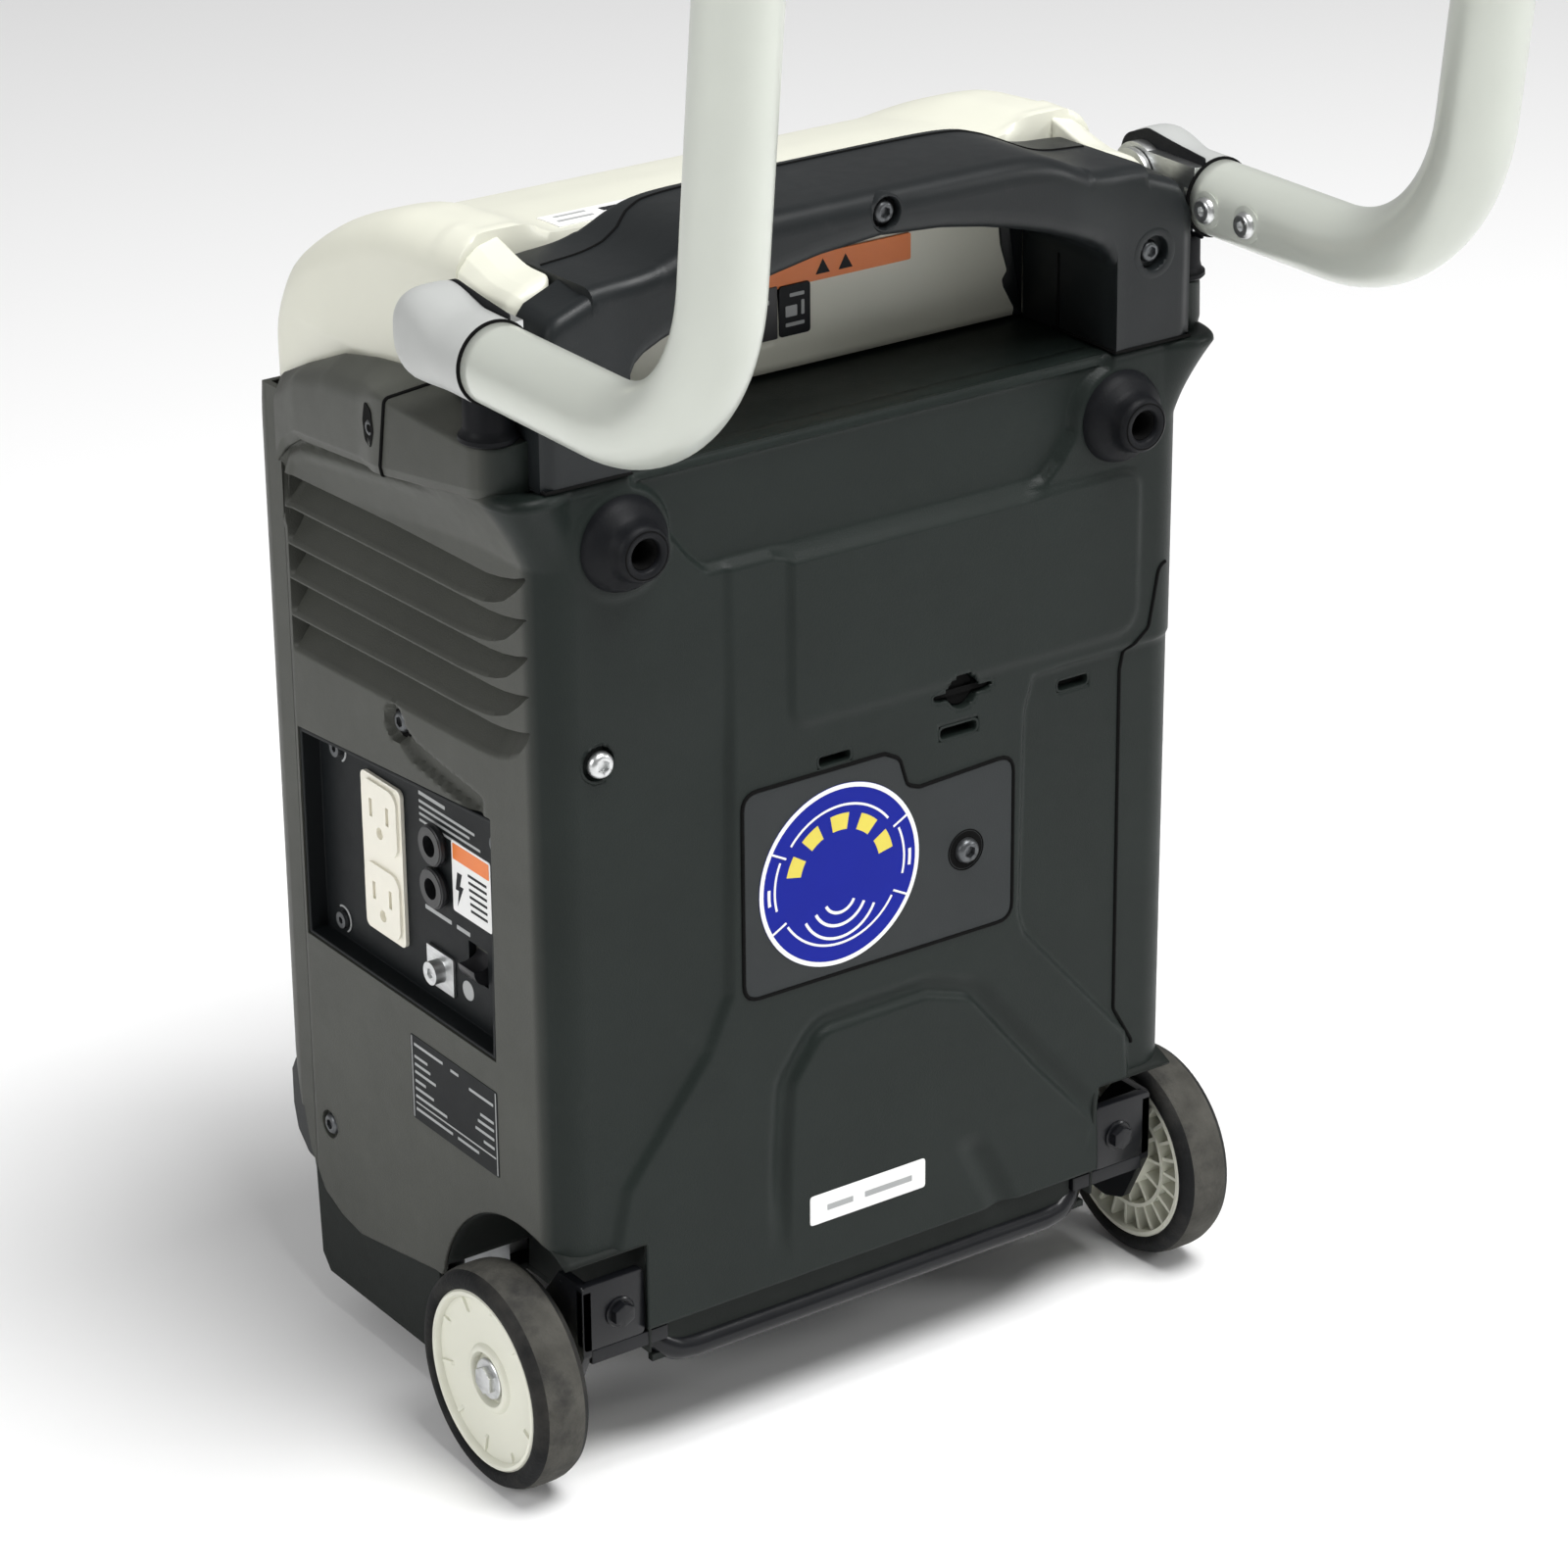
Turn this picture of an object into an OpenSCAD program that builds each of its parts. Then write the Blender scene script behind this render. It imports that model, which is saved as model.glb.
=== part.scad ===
// Inverter generator in suitcase form, with a folding pull handle and two wheels.
// Millimetres, +Z up, +X is the outlet side, +Y is the rear (wheel) side.
// Places along Y are given from the plane of the rear face and moved to the row frame by place().

/* [Case] */
// Half of the case's width, from the middle to a side wall
half_w = 155; // [150:1:158]
// Depth of the case from its rear face to its front
case_d = 220; // [214:1:226]
// Wall thickness of the plastic shells
wall = 3; // [2.5:0.5:4]
// Radius of the vertical corners of the case
corner_r = 16; // [10:1:20]
// Height of the flat ledge in front of the finger gap
deck_z = 430; // [428:1:431]

/* [Wheels] */
// Outer radius of a tyre
tyre_r = 47; // [45:0.5:49]
// Outer radius of a wheel hub
hub_r = 38.5; // [36:0.5:40]
// Distance from the middle to the outer face of a wheel
wheel_x = 177; // [175:1:180]
// Width of a wheel
wheel_w = 24.5; // [22:0.5:24.5]

/* [Pull handle] */
// Distance from the middle to the axis of an arm tube
arm_x = 170; // [169:1:172]
// Radius of the handle tube
tube_r = 15.5; // [14:0.5:15.5]
// Length of the straight part of an arm above its elbow
arm_rise = 224; // [180:1:300]
// Lean of the arms behind the vertical, in degrees
arm_lean = 6.3; // [4:0.1:8]

/* [Outlet panel] */
// Distance from the middle to the face of the outlet panel
panel_x = 146; // [144:1:147]

/* [Hidden] */
$fn = 48;

// Row frame: the rest pose's box is centred on Y = 0
grip_r = 18;
elbow_r = 75;
corner_bend_r = 55;
arm_z = 484;
arm_run_end = 68;
arm_turn = 90 - arm_lean;
arm_top_y = arm_run_end + elbow_r * sin(arm_turn);
arm_top_z = arm_z + elbow_r - elbow_r * cos(arm_turn);
bar_reach = arm_rise + corner_bend_r;
bar_y = arm_top_y + bar_reach * sin(arm_lean);
bar_z = arm_top_z + bar_reach * cos(arm_lean);
starter_front = -240;
rear_y = -(bar_y + grip_r + starter_front) / 2;

pivot_y = -41;
pivot_z = 486;
axle_y = -30;
arch_r = 64;
floor_z = 64;
skirt_z = 17;
seam = 0.3;
panel_split_y = -194;
door_w = 134;
door_lo = 197;
door_hi = 287;
crank_x = -20;
crank_y = -120;
rod_z = 112;
crank_r = 18;
rod_len = 60;
can_r = 33;
louvre_slope = 5.4;
starter_x = crank_x - 33.5;
starter_z = 265;
hinge_y = -210.5;
hinge_z = 420;
lid_half_w = 151;
intake_x = -127;
bumper_x = 119;
bumper_z = 403.6;
pocket_x = 134;
pocket_z = 468.5;
cover_screw = [131, 316];
door_screw = [-43, 234];
hanger_hole = [-41, 304];
socket_half = 18.5;
jack_y = -99;
jack_z = [232, 250.7];
arm_screw_y = [7, 31];
bracket_bolt = [127.5, 76];
hose_x = 113;
hose_y = -124;
grey = [0.20, 0.21, 0.19];
cream = [0.90, 0.89, 0.82];
silver = [0.79, 0.80, 0.77];
black = [0.07, 0.07, 0.08];
zinc = [0.70, 0.72, 0.75];
cast = [0.62, 0.63, 0.64];

module place() {
    translate([0, rear_y, 0]) children();
}

module both_sides() {
    children();
    mirror([1, 0, 0]) children();
}

// A solid along X from x0, made from a YZ outline
module along_x(x0, len) {
    translate([x0, 0, 0]) rotate([90, 0, 90]) linear_extrude(len) children();
}

// A solid along Y from y0 towards the rear, made from an XZ outline
module along_y(y0, len) {
    translate([0, y0 + len, 0]) rotate([90, 0, 0]) linear_extrude(len) children();
}

module round_rect(w, h, r) {
    square([w - 2 * r, h], center = true);
    square([w, h - 2 * r], center = true);
    for (sx = [-1, 1], sy = [-1, 1])
        translate([sx * (w / 2 - r), sy * (h / 2 - r)]) circle(r);
}

module plan(inset) {
    w = 2 * (half_w - inset);
    d = case_d - 2 * inset;
    translate([0, -case_d / 2]) round_rect(w, d, corner_r - inset);
}

// Side view of the case: a leaning chin at the front foot and a leaning brow under the lid
module side_view(inset) {
    f = -case_d + inset;
    polygon([
        [f + 30, skirt_z], [f + 24, 24], [f + 22, 64], [f + 11, 108], [f + 1, 142], [f, 160],
        [f, 330], [f + 7, 392], [f + 14, 424], [f + 14, deck_z - inset / 3], [1, deck_z - inset / 3],
        [1, skirt_z - inset]
    ]);
}

module case_solid(inset) {
    intersection() {
        translate([0, 0, skirt_z - 1]) linear_extrude(deck_z) plan(inset);
        along_x(-half_w - 1, 2 * half_w + 2) side_view(inset);
    }
}

module case_wall() {
    difference() {
        case_solid(0);
        translate([0, 0, -0.01]) case_solid(wall);
    }
}

// The part of the side view that belongs to the base, below the shells' curved lower edge
module skirt_region(gap) {
    polygon([
        [-230, 0], [-230, 92 - gap], [-203, 92 - gap], [-199 - gap, 74], [-188, 58 - gap],
        [-174, 52 - gap], [-159, 49.5 - gap], [-98, 60 - gap], [-98, 0]
    ]);
}

module wheel_arches() {
    both_sides()
        translate([115, axle_y, tyre_r]) rotate([0, 90, 0]) cylinder(h = 60, r = arch_r, $fn = 96);
}

// Everything below the rear shell's lower edge
module shell_underside() {
    translate([-200, -240, -10]) cube([400, 300, floor_z + 10]);
}

module lower_cut() {
    along_x(-200, 400) skirt_region(0);
    wheel_arches();
    both_sides() translate([115, -60, 40]) cube([50, 80, 59]);
    both_sides() translate([115, -99, -1]) cube([50, 45, 61]);
    translate([-116, -97, -1]) cube([232, 120, floor_z + 1]);
}

// Liners that close the wheel arches towards the engine
module wheel_wells() {
    both_sides() intersection() {
        difference() {
            translate([112, axle_y, tyre_r]) rotate([0, 90, 0])
                cylinder(h = 41, r = arch_r + 2.5, $fn = 96);
            translate([114.5, axle_y, tyre_r]) rotate([0, 90, 0]) cylinder(h = 50, r = arch_r, $fn = 96);
        }
        translate([100, -97, floor_z]) cube([60, 96, 60]);
    }
}

// Open top of the can bay, and the case's brow that slopes down towards the lid's front edge
module bay_cut() {
    translate([-half_w + wall + 0.2, -240, 425]) cube([2 * (half_w - wall) - 0.4, 178, 10]);
    along_x(-200, 400) polygon([
        [-240, 417.2], [-194, 417.2], [-174, 423], [-158, 430.5], [-158, 440], [-240, 440]
    ]);
}

// Outline, on the rear face, of the removable cover at the -X side
module side_cover_view(gap) {
    polygon([
        [-170, 335 - gap], [-141 - gap, 335 - gap], [-136 - gap, 308], [-125 - gap, 300],
        [-123.5 - gap, 292], [-123.5 - gap, 137], [-134 - gap, 119], [-134 - gap, 40], [-170, 40]
    ]);
}

module side_cover_zone(gap) {
    intersection() {
        along_y(-193 + gap, 200) side_cover_view(gap);
        along_x(-200, 90) polygon([[-193 + gap, 0], [-193 + gap, 400], [20, 400], [20, 0]]);
    }
}

module door_view(gap) {
    w = door_w / 2 - gap;
    difference() {
        translate([0, (door_lo + door_hi) / 2]) round_rect(2 * w, door_hi - door_lo - 2 * gap, 8);
        translate([-90, door_hi - 18 - gap]) square([78 + gap, 30]);
    }
}

module louvre_cuts() {
    for (i = [0:4])
        translate([half_w - 6, -188, 319 + i * 15.5]) rotate([louvre_slope, 0, 0])
            cube([10, 166, 7]);
}

module recess_view(gap) {
    polygon([
        [-192 + gap, 178 + gap], [-46 - gap, 178 + gap], [-42 - gap, 284 - gap], [-192 + gap, 272 - gap]
    ]);
}

// Flared corner that carries the shoulder block
module flare() {
    hull() {
        along_y(-46, 37) polygon([
            [152.1, 398], [155, 398], [172.5, 427], [172.5, 428.7], [152.1, 428.7]
        ]);
        along_y(-190, 4) polygon([
            [152.1, 378], [155, 378], [156.5, 388], [156.5, 389], [152.1, 389]
        ]);
    }
}

module rear_shell() color(grey) place() difference() {
    union() {
        intersection() {
            case_wall();
            translate([-200, panel_split_y, 0]) cube([400, 250, deck_z + 1]);
        }
        translate([-half_w + 1, -62, deck_z - wall]) cube([2 * half_w - 2, 60, wall]);
        wheel_wells();
        both_sides() flare();
        // seats of the rear bumpers
        both_sides() translate([bumper_x, -10, bumper_z]) rotate([-90, 0, 0]) cylinder(h = 10, r = 20);
    }
    lower_cut();
    bay_cut();
    side_cover_zone(0);
    along_y(-10, 20) door_view(0);
    louvre_cuts();
    along_x(half_w - 12, 20) recess_view(0);
    both_sides() {
        translate([bumper_x, -30, bumper_z]) rotate([-90, 0, 0]) cylinder(h = 40, r = 6);
        // seats of the shoulder trims and blocks
        along_x(152.05, 40) polygon([
            [-172.8, 415.5], [-128, 428.6], [-8.4, 428.6], [-8.4, 435], [-172.8, 435]
        ]);
    }
    translate([hanger_hole[0], -10, hanger_hole[1]]) rotate([-90, 0, 0]) cylinder(h = 20, r = 7);
    translate([cover_screw[0], -10, cover_screw[1]]) rotate([-90, 0, 0]) cylinder(h = 20, r = 3);
    for (s = [[22, 291, 15], [-39, 287.6, 18], [-99, 292.6, 15]])
        translate([s[0] - s[2] / 2, -10, s[1] - 2]) cube([s[2], 20, 4]);
}

module front_shell() color(grey) place() {
    difference() {
        union() {
            intersection() {
                case_wall();
                translate([-200, -240, 0]) cube([400, 240 + panel_split_y - seam, 417.2]);
            }
            // ears of the lid's hinge
            both_sides() for (x = [114, 136.4]) along_x(x, 5.6) {
                translate([hinge_y, hinge_z]) circle(3.6);
                polygon([
                    [hinge_y - 3.6, hinge_z], [hinge_y + 3.6, hinge_z], [hinge_y + 3.6, 404], [hinge_y, 404]
                ]);
            }
        }
        along_x(-200, 400) skirt_region(0);
        translate([starter_x, -190, starter_z]) rotate([90, 0, 0]) cylinder(h = 60, r = 5);
        translate([100, -190, 330]) rotate([90, 0, 0]) cylinder(h = 60, r = 8.5);
        both_sides() translate([110, hinge_y, hinge_z]) rotate([0, 90, 0]) cylinder(h = 40, r = 1.52);
        // hot air outlet slots
        for (i = [0:3]) translate([-110, -230, 180 + i * 16]) cube([150, 20, 6]);
    }
}

module side_cover() color(grey) place() difference() {
    intersection() {
        union() {
            case_wall();
            wheel_wells();
        }
        side_cover_zone(seam);
    }
    lower_cut();
    translate([-180, -60, 0]) cube([80, 80, 100]);
    translate([-180, -12, 0]) cube([80, 20, 116]);
}

module base_tray() color([0.16, 0.17, 0.16]) place() {
    difference() {
        intersection() {
            case_wall();
            along_x(-200, 400) skirt_region(seam);
            translate([-half_w + 1.5, -240, 0]) cube([2 * half_w - 3, 143, 120]);
        }
        translate([-200, -98.2, 0]) cube([400, 20, 120]);
    }
    translate([-152.7, -196, floor_z - 18]) cube([305.4, 98, 3]);
    difference() {
        translate([-111, -98.1, floor_z - 18]) cube([222, 94.1, 3]);
        both_sides() translate([64, -22, 0]) cube([60, 15, 100]);
    }
    translate([-103, -7, floor_z - 18]) cube([206, 3, 17.6]);
}

module handle_catches() color(black) place() both_sides() along_x(136, 14) polygon([
    [-198.4, 62], [-210, 64], [-220, 74], [-222.5, 84], [-222.5, 100], [-218, 108], [-209.3, 108]
]);

module shoulder_blocks() color(grey) place() both_sides() difference() {
    intersection() {
        translate([163.6, -35.5, 429]) linear_extrude(19) round_rect(18.8 + 12, 53, 12);
        translate([154.3, -70, 400]) cube([40, 80, 60]);
    }
    // seat of the arm stop
    translate([165, -16, 445]) cylinder(h = 10, r = 5.2);
}

module trim_slice(y, lo, hi, out) {
    translate([0, y, 0]) along_y(0, 0.5) polygon([
        [152.4, lo], [out - 1, lo], [out, lo + 3], [out, hi - 7], [out - 5, hi], [152.4, hi]
    ]);
}

module shoulder_trims() color(grey) place() both_sides() {
    hull() {
        trim_slice(-62.9, 429, 449, 171);
        trim_slice(-128, 429, 442, 164);
    }
    translate([0, -0.2, 0]) hull() {
        trim_slice(-128, 429, 442, 164);
        trim_slice(-172, 416, 427, 159);
    }
}

module arm_stops() color(black) place() both_sides() translate([165, -16, 0]) {
    translate([0, 0, 448.1]) cylinder(h = 8, r = 10.5);
    translate([0, 0, 456]) cylinder(h = 10, r = 9.8);
    translate([0, 0, 445.5]) cylinder(h = 3, r = 5);
}

// Height of the underside of the hand grip at a distance x from the middle
function arch_z(x) = 501 - 55 * pow(abs(x) / 124, 2.6);
// Height of the top of the hand grip
function crown_z(x) = 505 + 15 / (1 + exp((abs(x) - 86) / 6));

module arch_hole() {
    polygon(concat([[-124, 425]], [for (x = [-124:8:124]) [x, arch_z(x)]], [[124, 425]]));
}

module grip_view() {
    difference() {
        polygon(concat(
            [[-154, 432], [-154, 486], [-146, 499]],
            [for (x = [-136:8:136]) [x, crown_z(x)]],
            [[146, 499], [154, 486], [154, 432]]));
        arch_hole();
    }
}

module tongue_seat() {
    both_sides() translate([136.5, -70, 486.5]) cube([30, 47, 30]);
}

module grip_lower_shell() color(black) place() difference() {
    union() {
        along_y(-36, 36) grip_view();
        along_y(-36, 41) intersection() {
            grip_view();
            translate([-112, 440]) square([224, 90]);
        }
        both_sides() translate([115, -60, 432]) cube([39, 26, 52]);
        both_sides() translate([115, -60, 432]) cube([21, 26, 66]);
    }
    tongue_seat();
    // deep screw pockets of the end blocks
    both_sides() translate([pocket_x, -4, pocket_z]) rotate([-90, 0, 0]) cylinder(h = 20, r = 7);
    translate([0, 2, 512]) rotate([-90, 0, 0]) cylinder(h = 20, r = 6);
}

module grip_upper_shell() color([0.13, 0.14, 0.14]) place() difference() {
    along_y(-60, 24 - seam) difference() {
        polygon(concat(
            [[-135.8, 498.4]],
            [for (x = [-132:8:132]) [x, crown_z(x) - 2]],
            [[135.8, 498.4]]));
        polygon(concat([[-124, 425]], [for (x = [-124:8:124]) [x, max(arch_z(x), 498.4)]], [[124, 425]]));
    }
    translate([0, -60, 0]) rotate([20, 0, 0]) translate([-200, -40, 480]) cube([400, 40, 90]);
}

module cap_screw(r, h) {
    difference() {
        cylinder(h = h, r = r);
        translate([0, 0, h - 1.6]) cylinder(h = 2, r = r * 0.45, $fn = 6);
    }
}

module case_screws() color(zinc) place() {
    translate([0, 2.1, 512]) rotate([-90, 0, 0]) cap_screw(4.5, 2.6);
    both_sides() translate([pocket_x, -3.9, pocket_z]) rotate([-90, 0, 0]) cap_screw(4.2, 3);
    translate([cover_screw[0], -3.2, cover_screw[1]]) rotate([-90, 0, 0]) {
        cylinder(h = 3.2, r = 2.9);
        translate([0, 0, 3.2]) cap_screw(5, 3);
    }
    translate([door_screw[0], -1.9, door_screw[1]]) rotate([-90, 0, 0]) cap_screw(5, 3);
    for (p = [[-113, 300], [-181.5, 92]])
        translate([half_w + 0.1, p[0], p[1]]) rotate([0, 90, 0]) cap_screw(4.5, 1.2);
}

module rear_bumpers() color(black) place() both_sides() translate([bumper_x, 0.1, bumper_z])
    rotate([-90, 0, 0]) rotate_extrude() polygon([
        [6.5, 0], [19, 0], [17, 4.5], [13.4, 7.5], [11.8, 10.5], [11.3, 15], [10.3, 16.2], [6.5, 16.2]
    ]);

module maintenance_door() color(grey) place() difference() {
    union() {
        along_y(-3, 3) door_view(0.6);
        translate([-55, -8, door_lo + 8]) cube([110, 5, 3]);
        translate([-55, -8, door_hi - 24]) cube([110, 5, 3]);
    }
    translate([door_screw[0], -2, door_screw[1]]) rotate([-90, 0, 0]) cylinder(h = 10, r = 8);
}

module control_panel() color([0.10, 0.11, 0.11]) place() difference() {
    along_x(panel_x - wall, half_w - 0.6 - panel_x + wall) recess_view(0.4);
    along_x(panel_x, 20) recess_view(2);
    // breaker opening, sockets' seats
    translate([panel_x - 10, -77.5, 200.5]) cube([20, 14, 16]);
    for (z = jack_z) translate([panel_x - 10, jack_y, z]) rotate([0, 90, 0]) cylinder(h = 20, r = 7);
    // round the corner of the case
    difference() {
        translate([100, -60, 100]) cube([80, 80, 300]);
        translate([0, 0, 90]) linear_extrude(320) plan(0.5);
    }
}

// One grounded socket of the duplex outlet, seen from the front, centred
module socket_slots() {
    translate([-6.4, 2.5]) square([2.2, 8], center = true);
    translate([6.4, 2.5]) square([2.2, 8], center = true);
    translate([0, -7]) circle(2.6);
}

module duplex_outlet() color(cream) place() translate([panel_x + 0.1, -139.5, 229.5]) difference() {
    rotate([90, 0, 90]) union() {
        linear_extrude(1.6) round_rect(31, 70, 3);
        linear_extrude(2.8) for (s = [-1, 1]) translate([0, s * socket_half]) round_rect(27, 29, 6);
    }
    rotate([90, 0, 90]) translate([0, 0, 0.6]) linear_extrude(6)
        for (s = [-1, 1]) translate([0, s * socket_half]) socket_slots();
}

module parallel_sockets() color(black) place() for (z = jack_z)
    translate([panel_x - 14, jack_y, z]) rotate([0, 90, 0]) difference() {
        union() {
            cylinder(h = 16, r = 6.8);
            translate([0, 0, 14.1]) cylinder(h = 4, r = 8);
        }
        translate([0, 0, 2]) cylinder(h = 20, r = 4.5);
    }

module ground_terminal() color(zinc) place() {
    translate([panel_x + 0.1, -108, 187]) cube([1.5, 20, 17]);
    translate([panel_x + 1.6, -98, 195.5]) rotate([0, 90, 0]) cap_screw(5, 5);
}

module breaker_rocker() color(black) place() translate([panel_x - 1, -70.5, 208.5]) {
    rotate([90, 0, 0]) difference() {
        translate([0, 0, -6]) cylinder(h = 12, r = 7);
        translate([4.5, 8.5, -10]) cylinder(h = 20, r = 8.4);
    }
}

module panel_screws() color(zinc) place()
    for (p = [[-175, 266], [-176, 188], [-52, 268], [-52, 186]])
        translate([panel_x + 0.1, p[0], p[1]]) rotate([0, 90, 0]) cap_screw(3.6, 2.2);

// Short pin inside two tubes of radius r that meet end to end
module dowel(r) {
    translate([0, 0, -3]) cylinder(h = 6, r = r - 1.5);
}

// Cross tube with a bracket welded to each end, which holds an axle bolt
module axle_frame() color(black) place() {
    bend = 31;
    half = 76;
    out = 38;
    r = 5.5;
    translate([-half, -14, 40]) rotate([0, 90, 0]) cylinder(h = 2 * half, r = r);
    both_sides() {
        translate([half, -14, 40]) {
            sphere(r + 0.2);
            rotate([0, 90 - bend, 0]) cylinder(h = out, r = r);
        }
        difference() {
            union() {
                along_x(115.4, 29.6) polygon([[-6, 62], [-2, 62], [-2, 92], [-6, 92]]);
                along_x(141, 4) polygon([
                    [-2, 92], [-2, 60], [-14, 36], [-26, 32], [-42, 34], [-48, 47], [-40, 66], [-20, 92]
                ]);
                translate([104, -20, 56]) cube([37.1, 14.1, 6.1]);
                translate([104, -6, 56]) cube([37.1, 4, 7]);
            }
            translate([130, axle_y, tyre_r]) rotate([0, 90, 0]) cylinder(h = 30, r = 6);
            translate([bracket_bolt[0], -10, bracket_bolt[1]]) rotate([-90, 0, 0]) cylinder(h = 20, r = 3);
        }
    }
}

module frame_bolts() color(zinc) place() both_sides() {
    // axle bolt with its head in the hub's centre recess
    translate([136, axle_y, tyre_r]) rotate([0, 90, 0]) {
        cylinder(h = 36, r = 5.95);
        translate([0, 0, 36]) cylinder(h = 1.2, r = 9);
        translate([0, 0, 37.2]) cylinder(h = 2.6, r = 6.4, $fn = 6);
        translate([0, 0, 0.5]) cylinder(h = 4, r = 9, $fn = 6);
    }
    translate([bracket_bolt[0], -8, bracket_bolt[1]]) rotate([-90, 0, 0]) {
        cylinder(h = 6, r = 2.95);
        translate([0, 0, 6]) cylinder(h = 1.2, r = 7.5);
        translate([0, 0, 7.2]) cylinder(h = 3.6, r = 5.8, $fn = 6);
    }
}

hub_in = wheel_x - wheel_w;

module hub_shape() {
    difference() {
        union() {
            translate([hub_in + 1, 0, 0]) rotate([0, 90, 0]) difference() {
                cylinder(h = wheel_w - 2, r = hub_r, $fn = 96);
                translate([0, 0, -1]) cylinder(h = wheel_w, r = hub_r - 2.4, $fn = 96);
            }
            translate([wheel_x - 8, 0, 0]) rotate([0, 90, 0]) cylinder(h = 3, r = hub_r - 1, $fn = 96);
            translate([hub_in - 3, 0, 0]) rotate([0, 90, 0]) cylinder(h = wheel_w - 2, r = 14);
            translate([hub_in + 3, 0, 0]) rotate([0, 90, 0]) difference() {
                cylinder(h = wheel_w - 10, r = 26);
                translate([0, 0, -1]) cylinder(h = wheel_w, r = 24);
            }
            for (a = [0:15:345]) rotate([a, 0, 0]) translate([hub_in + 3, 13, -0.8])
                cube([wheel_w - 10, hub_r - 14.4, 1.6]);
        }
        translate([hub_in - 10, 0, 0]) rotate([0, 90, 0]) cylinder(h = 60, r = 6);
        translate([wheel_x - 5.1, 0, 0]) rotate([0, 90, 0]) cylinder(h = 20, r = 11);
    }
}

module tyre_shape() {
    r = 4;
    rotate([0, 90, 0]) rotate_extrude($fn = 96) polygon(concat(
        [[hub_r, hub_in + 1], [hub_r, wheel_x - 1], [hub_r + 1.5, wheel_x]],
        [for (a = [90:-15:0]) [tyre_r - r + r * cos(a), wheel_x - r + r * sin(a)]],
        [for (a = [0:-15:-90]) [tyre_r - r + r * cos(a), hub_in + r + r * sin(a)]],
        [[hub_r + 1.5, hub_in]]));
}

module at_axle() {
    translate([0, axle_y, tyre_r]) children();
}

module hub_right() color(cream) place() at_axle() hub_shape();
module tyre_right() color(black) place() at_axle() tyre_shape();
module hub_left() color(cream) place() at_axle() mirror([1, 0, 0]) hub_shape();
module tyre_left() color(black) place() at_axle() mirror([1, 0, 0]) tyre_shape();

module front_feet() color(black) place() both_sides() translate([100, -165, 0]) {
    cylinder(h = 45.8, r1 = 14, r2 = 17);
}

// Side view of the lid's outer surface, from the front edge over the top to the rear wall
module lid_view(inset) {
    polygon([
        [-212 + inset, 418 - inset], [-211.5 + inset, 440], [-205 + inset, 456 - inset / 2],
        [-192 + inset / 2, 473 - inset], [-160, 491 - inset], [-122, 505 - inset],
        [-95, 509 - inset], [-62 - inset, 510 - inset], [-62 - inset, 431.2 - inset],
        [-196, 420 - inset]
    ]);
}

module lid_solid(inset) {
    front = -212 + inset;
    back = -30;
    intersection() {
        along_x(-160, 320) lid_view(inset);
        translate([0, (front + back) / 2, 400]) linear_extrude(130)
            round_rect(2 * (lid_half_w - inset), back - front, 14 - inset);
    }
}

// Everything below the arched lower edge of the lid's cheeks
module lid_side_cut() {
    polygon([
        [-230, 400], [-230, 418], [-190, 418], [-174, 421], [-156, 430], [-131, 437],
        [-87, 445], [-50, 446], [-50, 400]
    ]);
}

module lid() color(cream) place() difference() {
    union() {
        difference() {
            lid_solid(0);
            lid_solid(2.6);
            both_sides() along_x(145, 20) lid_side_cut();
            // notches round the hinge ears
            both_sides() translate([112, -220, 410]) cube([32, 14, 15.5]);
        }
        // raised ends
        both_sides() along_x(112, lid_half_w - 112) polygon([
            [-186, 476], [-160, 490], [-122, 504], [-95, 508], [-62.5, 509], [-62.5, 511],
            [-95, 512], [-122, 510], [-160, 496], [-184, 480]
        ]);
        // tongues that lie over the ends of the hand grip
        both_sides() translate([137, -63, 487]) cube([14, 39.5, 15]);
        both_sides() along_x(120, 16) {
            translate([hinge_y, hinge_z]) circle(3.6);
            translate([-212, hinge_z]) square([2.6, 6]);
        }
    }
    translate([4.5, -70, 443.5]) cube([45, 20, 23]);
    both_sides() translate([110, hinge_y, hinge_z]) rotate([0, 90, 0]) cylinder(h = 40, r = 1.55);
}

module lid_hinge_pins() color(zinc) place() both_sides()
    translate([113, hinge_y, hinge_z]) rotate([0, 90, 0]) {
        cylinder(h = 29.5, r = 1.5);
        cylinder(h = 0.9, r = 2.8);
    }

module lid_release() color(black) place() {
    translate([5, -63.5, 444]) cube([44, 2.6, 22]);
    translate([17, -66.5, 450]) cube([20, 3.1, 4]);
}

// The U-shaped tube: two runs, two elbows, two rising arms, two corner bends and a crossbar
module tube_path(r, y0) {
    both_sides() {
        translate([arm_x, y0, arm_z]) rotate([-90, 0, 0]) cylinder(h = arm_run_end - y0, r = r);
        translate([arm_x, arm_run_end, arm_z + elbow_r]) rotate([0, 90, 0])
            rotate_extrude(angle = arm_turn, $fn = 96) translate([elbow_r, 0]) circle(r);
        translate([0, arm_top_y, arm_top_z]) rotate([-arm_lean, 0, 0]) {
            translate([arm_x, 0, 0]) cylinder(h = arm_rise, r = r);
            translate([arm_x, 0, 0]) dowel(r);
            translate([arm_x - corner_bend_r, 0, arm_rise]) rotate([90, 0, 0])
                rotate_extrude(angle = 90, $fn = 96) translate([corner_bend_r, 0]) circle(r);
        }
    }
    translate([-arm_x + corner_bend_r, bar_y, bar_z]) rotate([0, 90, 0])
        cylinder(h = 2 * (arm_x - corner_bend_r), r = r);
    both_sides() translate([arm_x - corner_bend_r, bar_y, bar_z]) rotate([0, 90, 0]) dowel(r);
}

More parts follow.
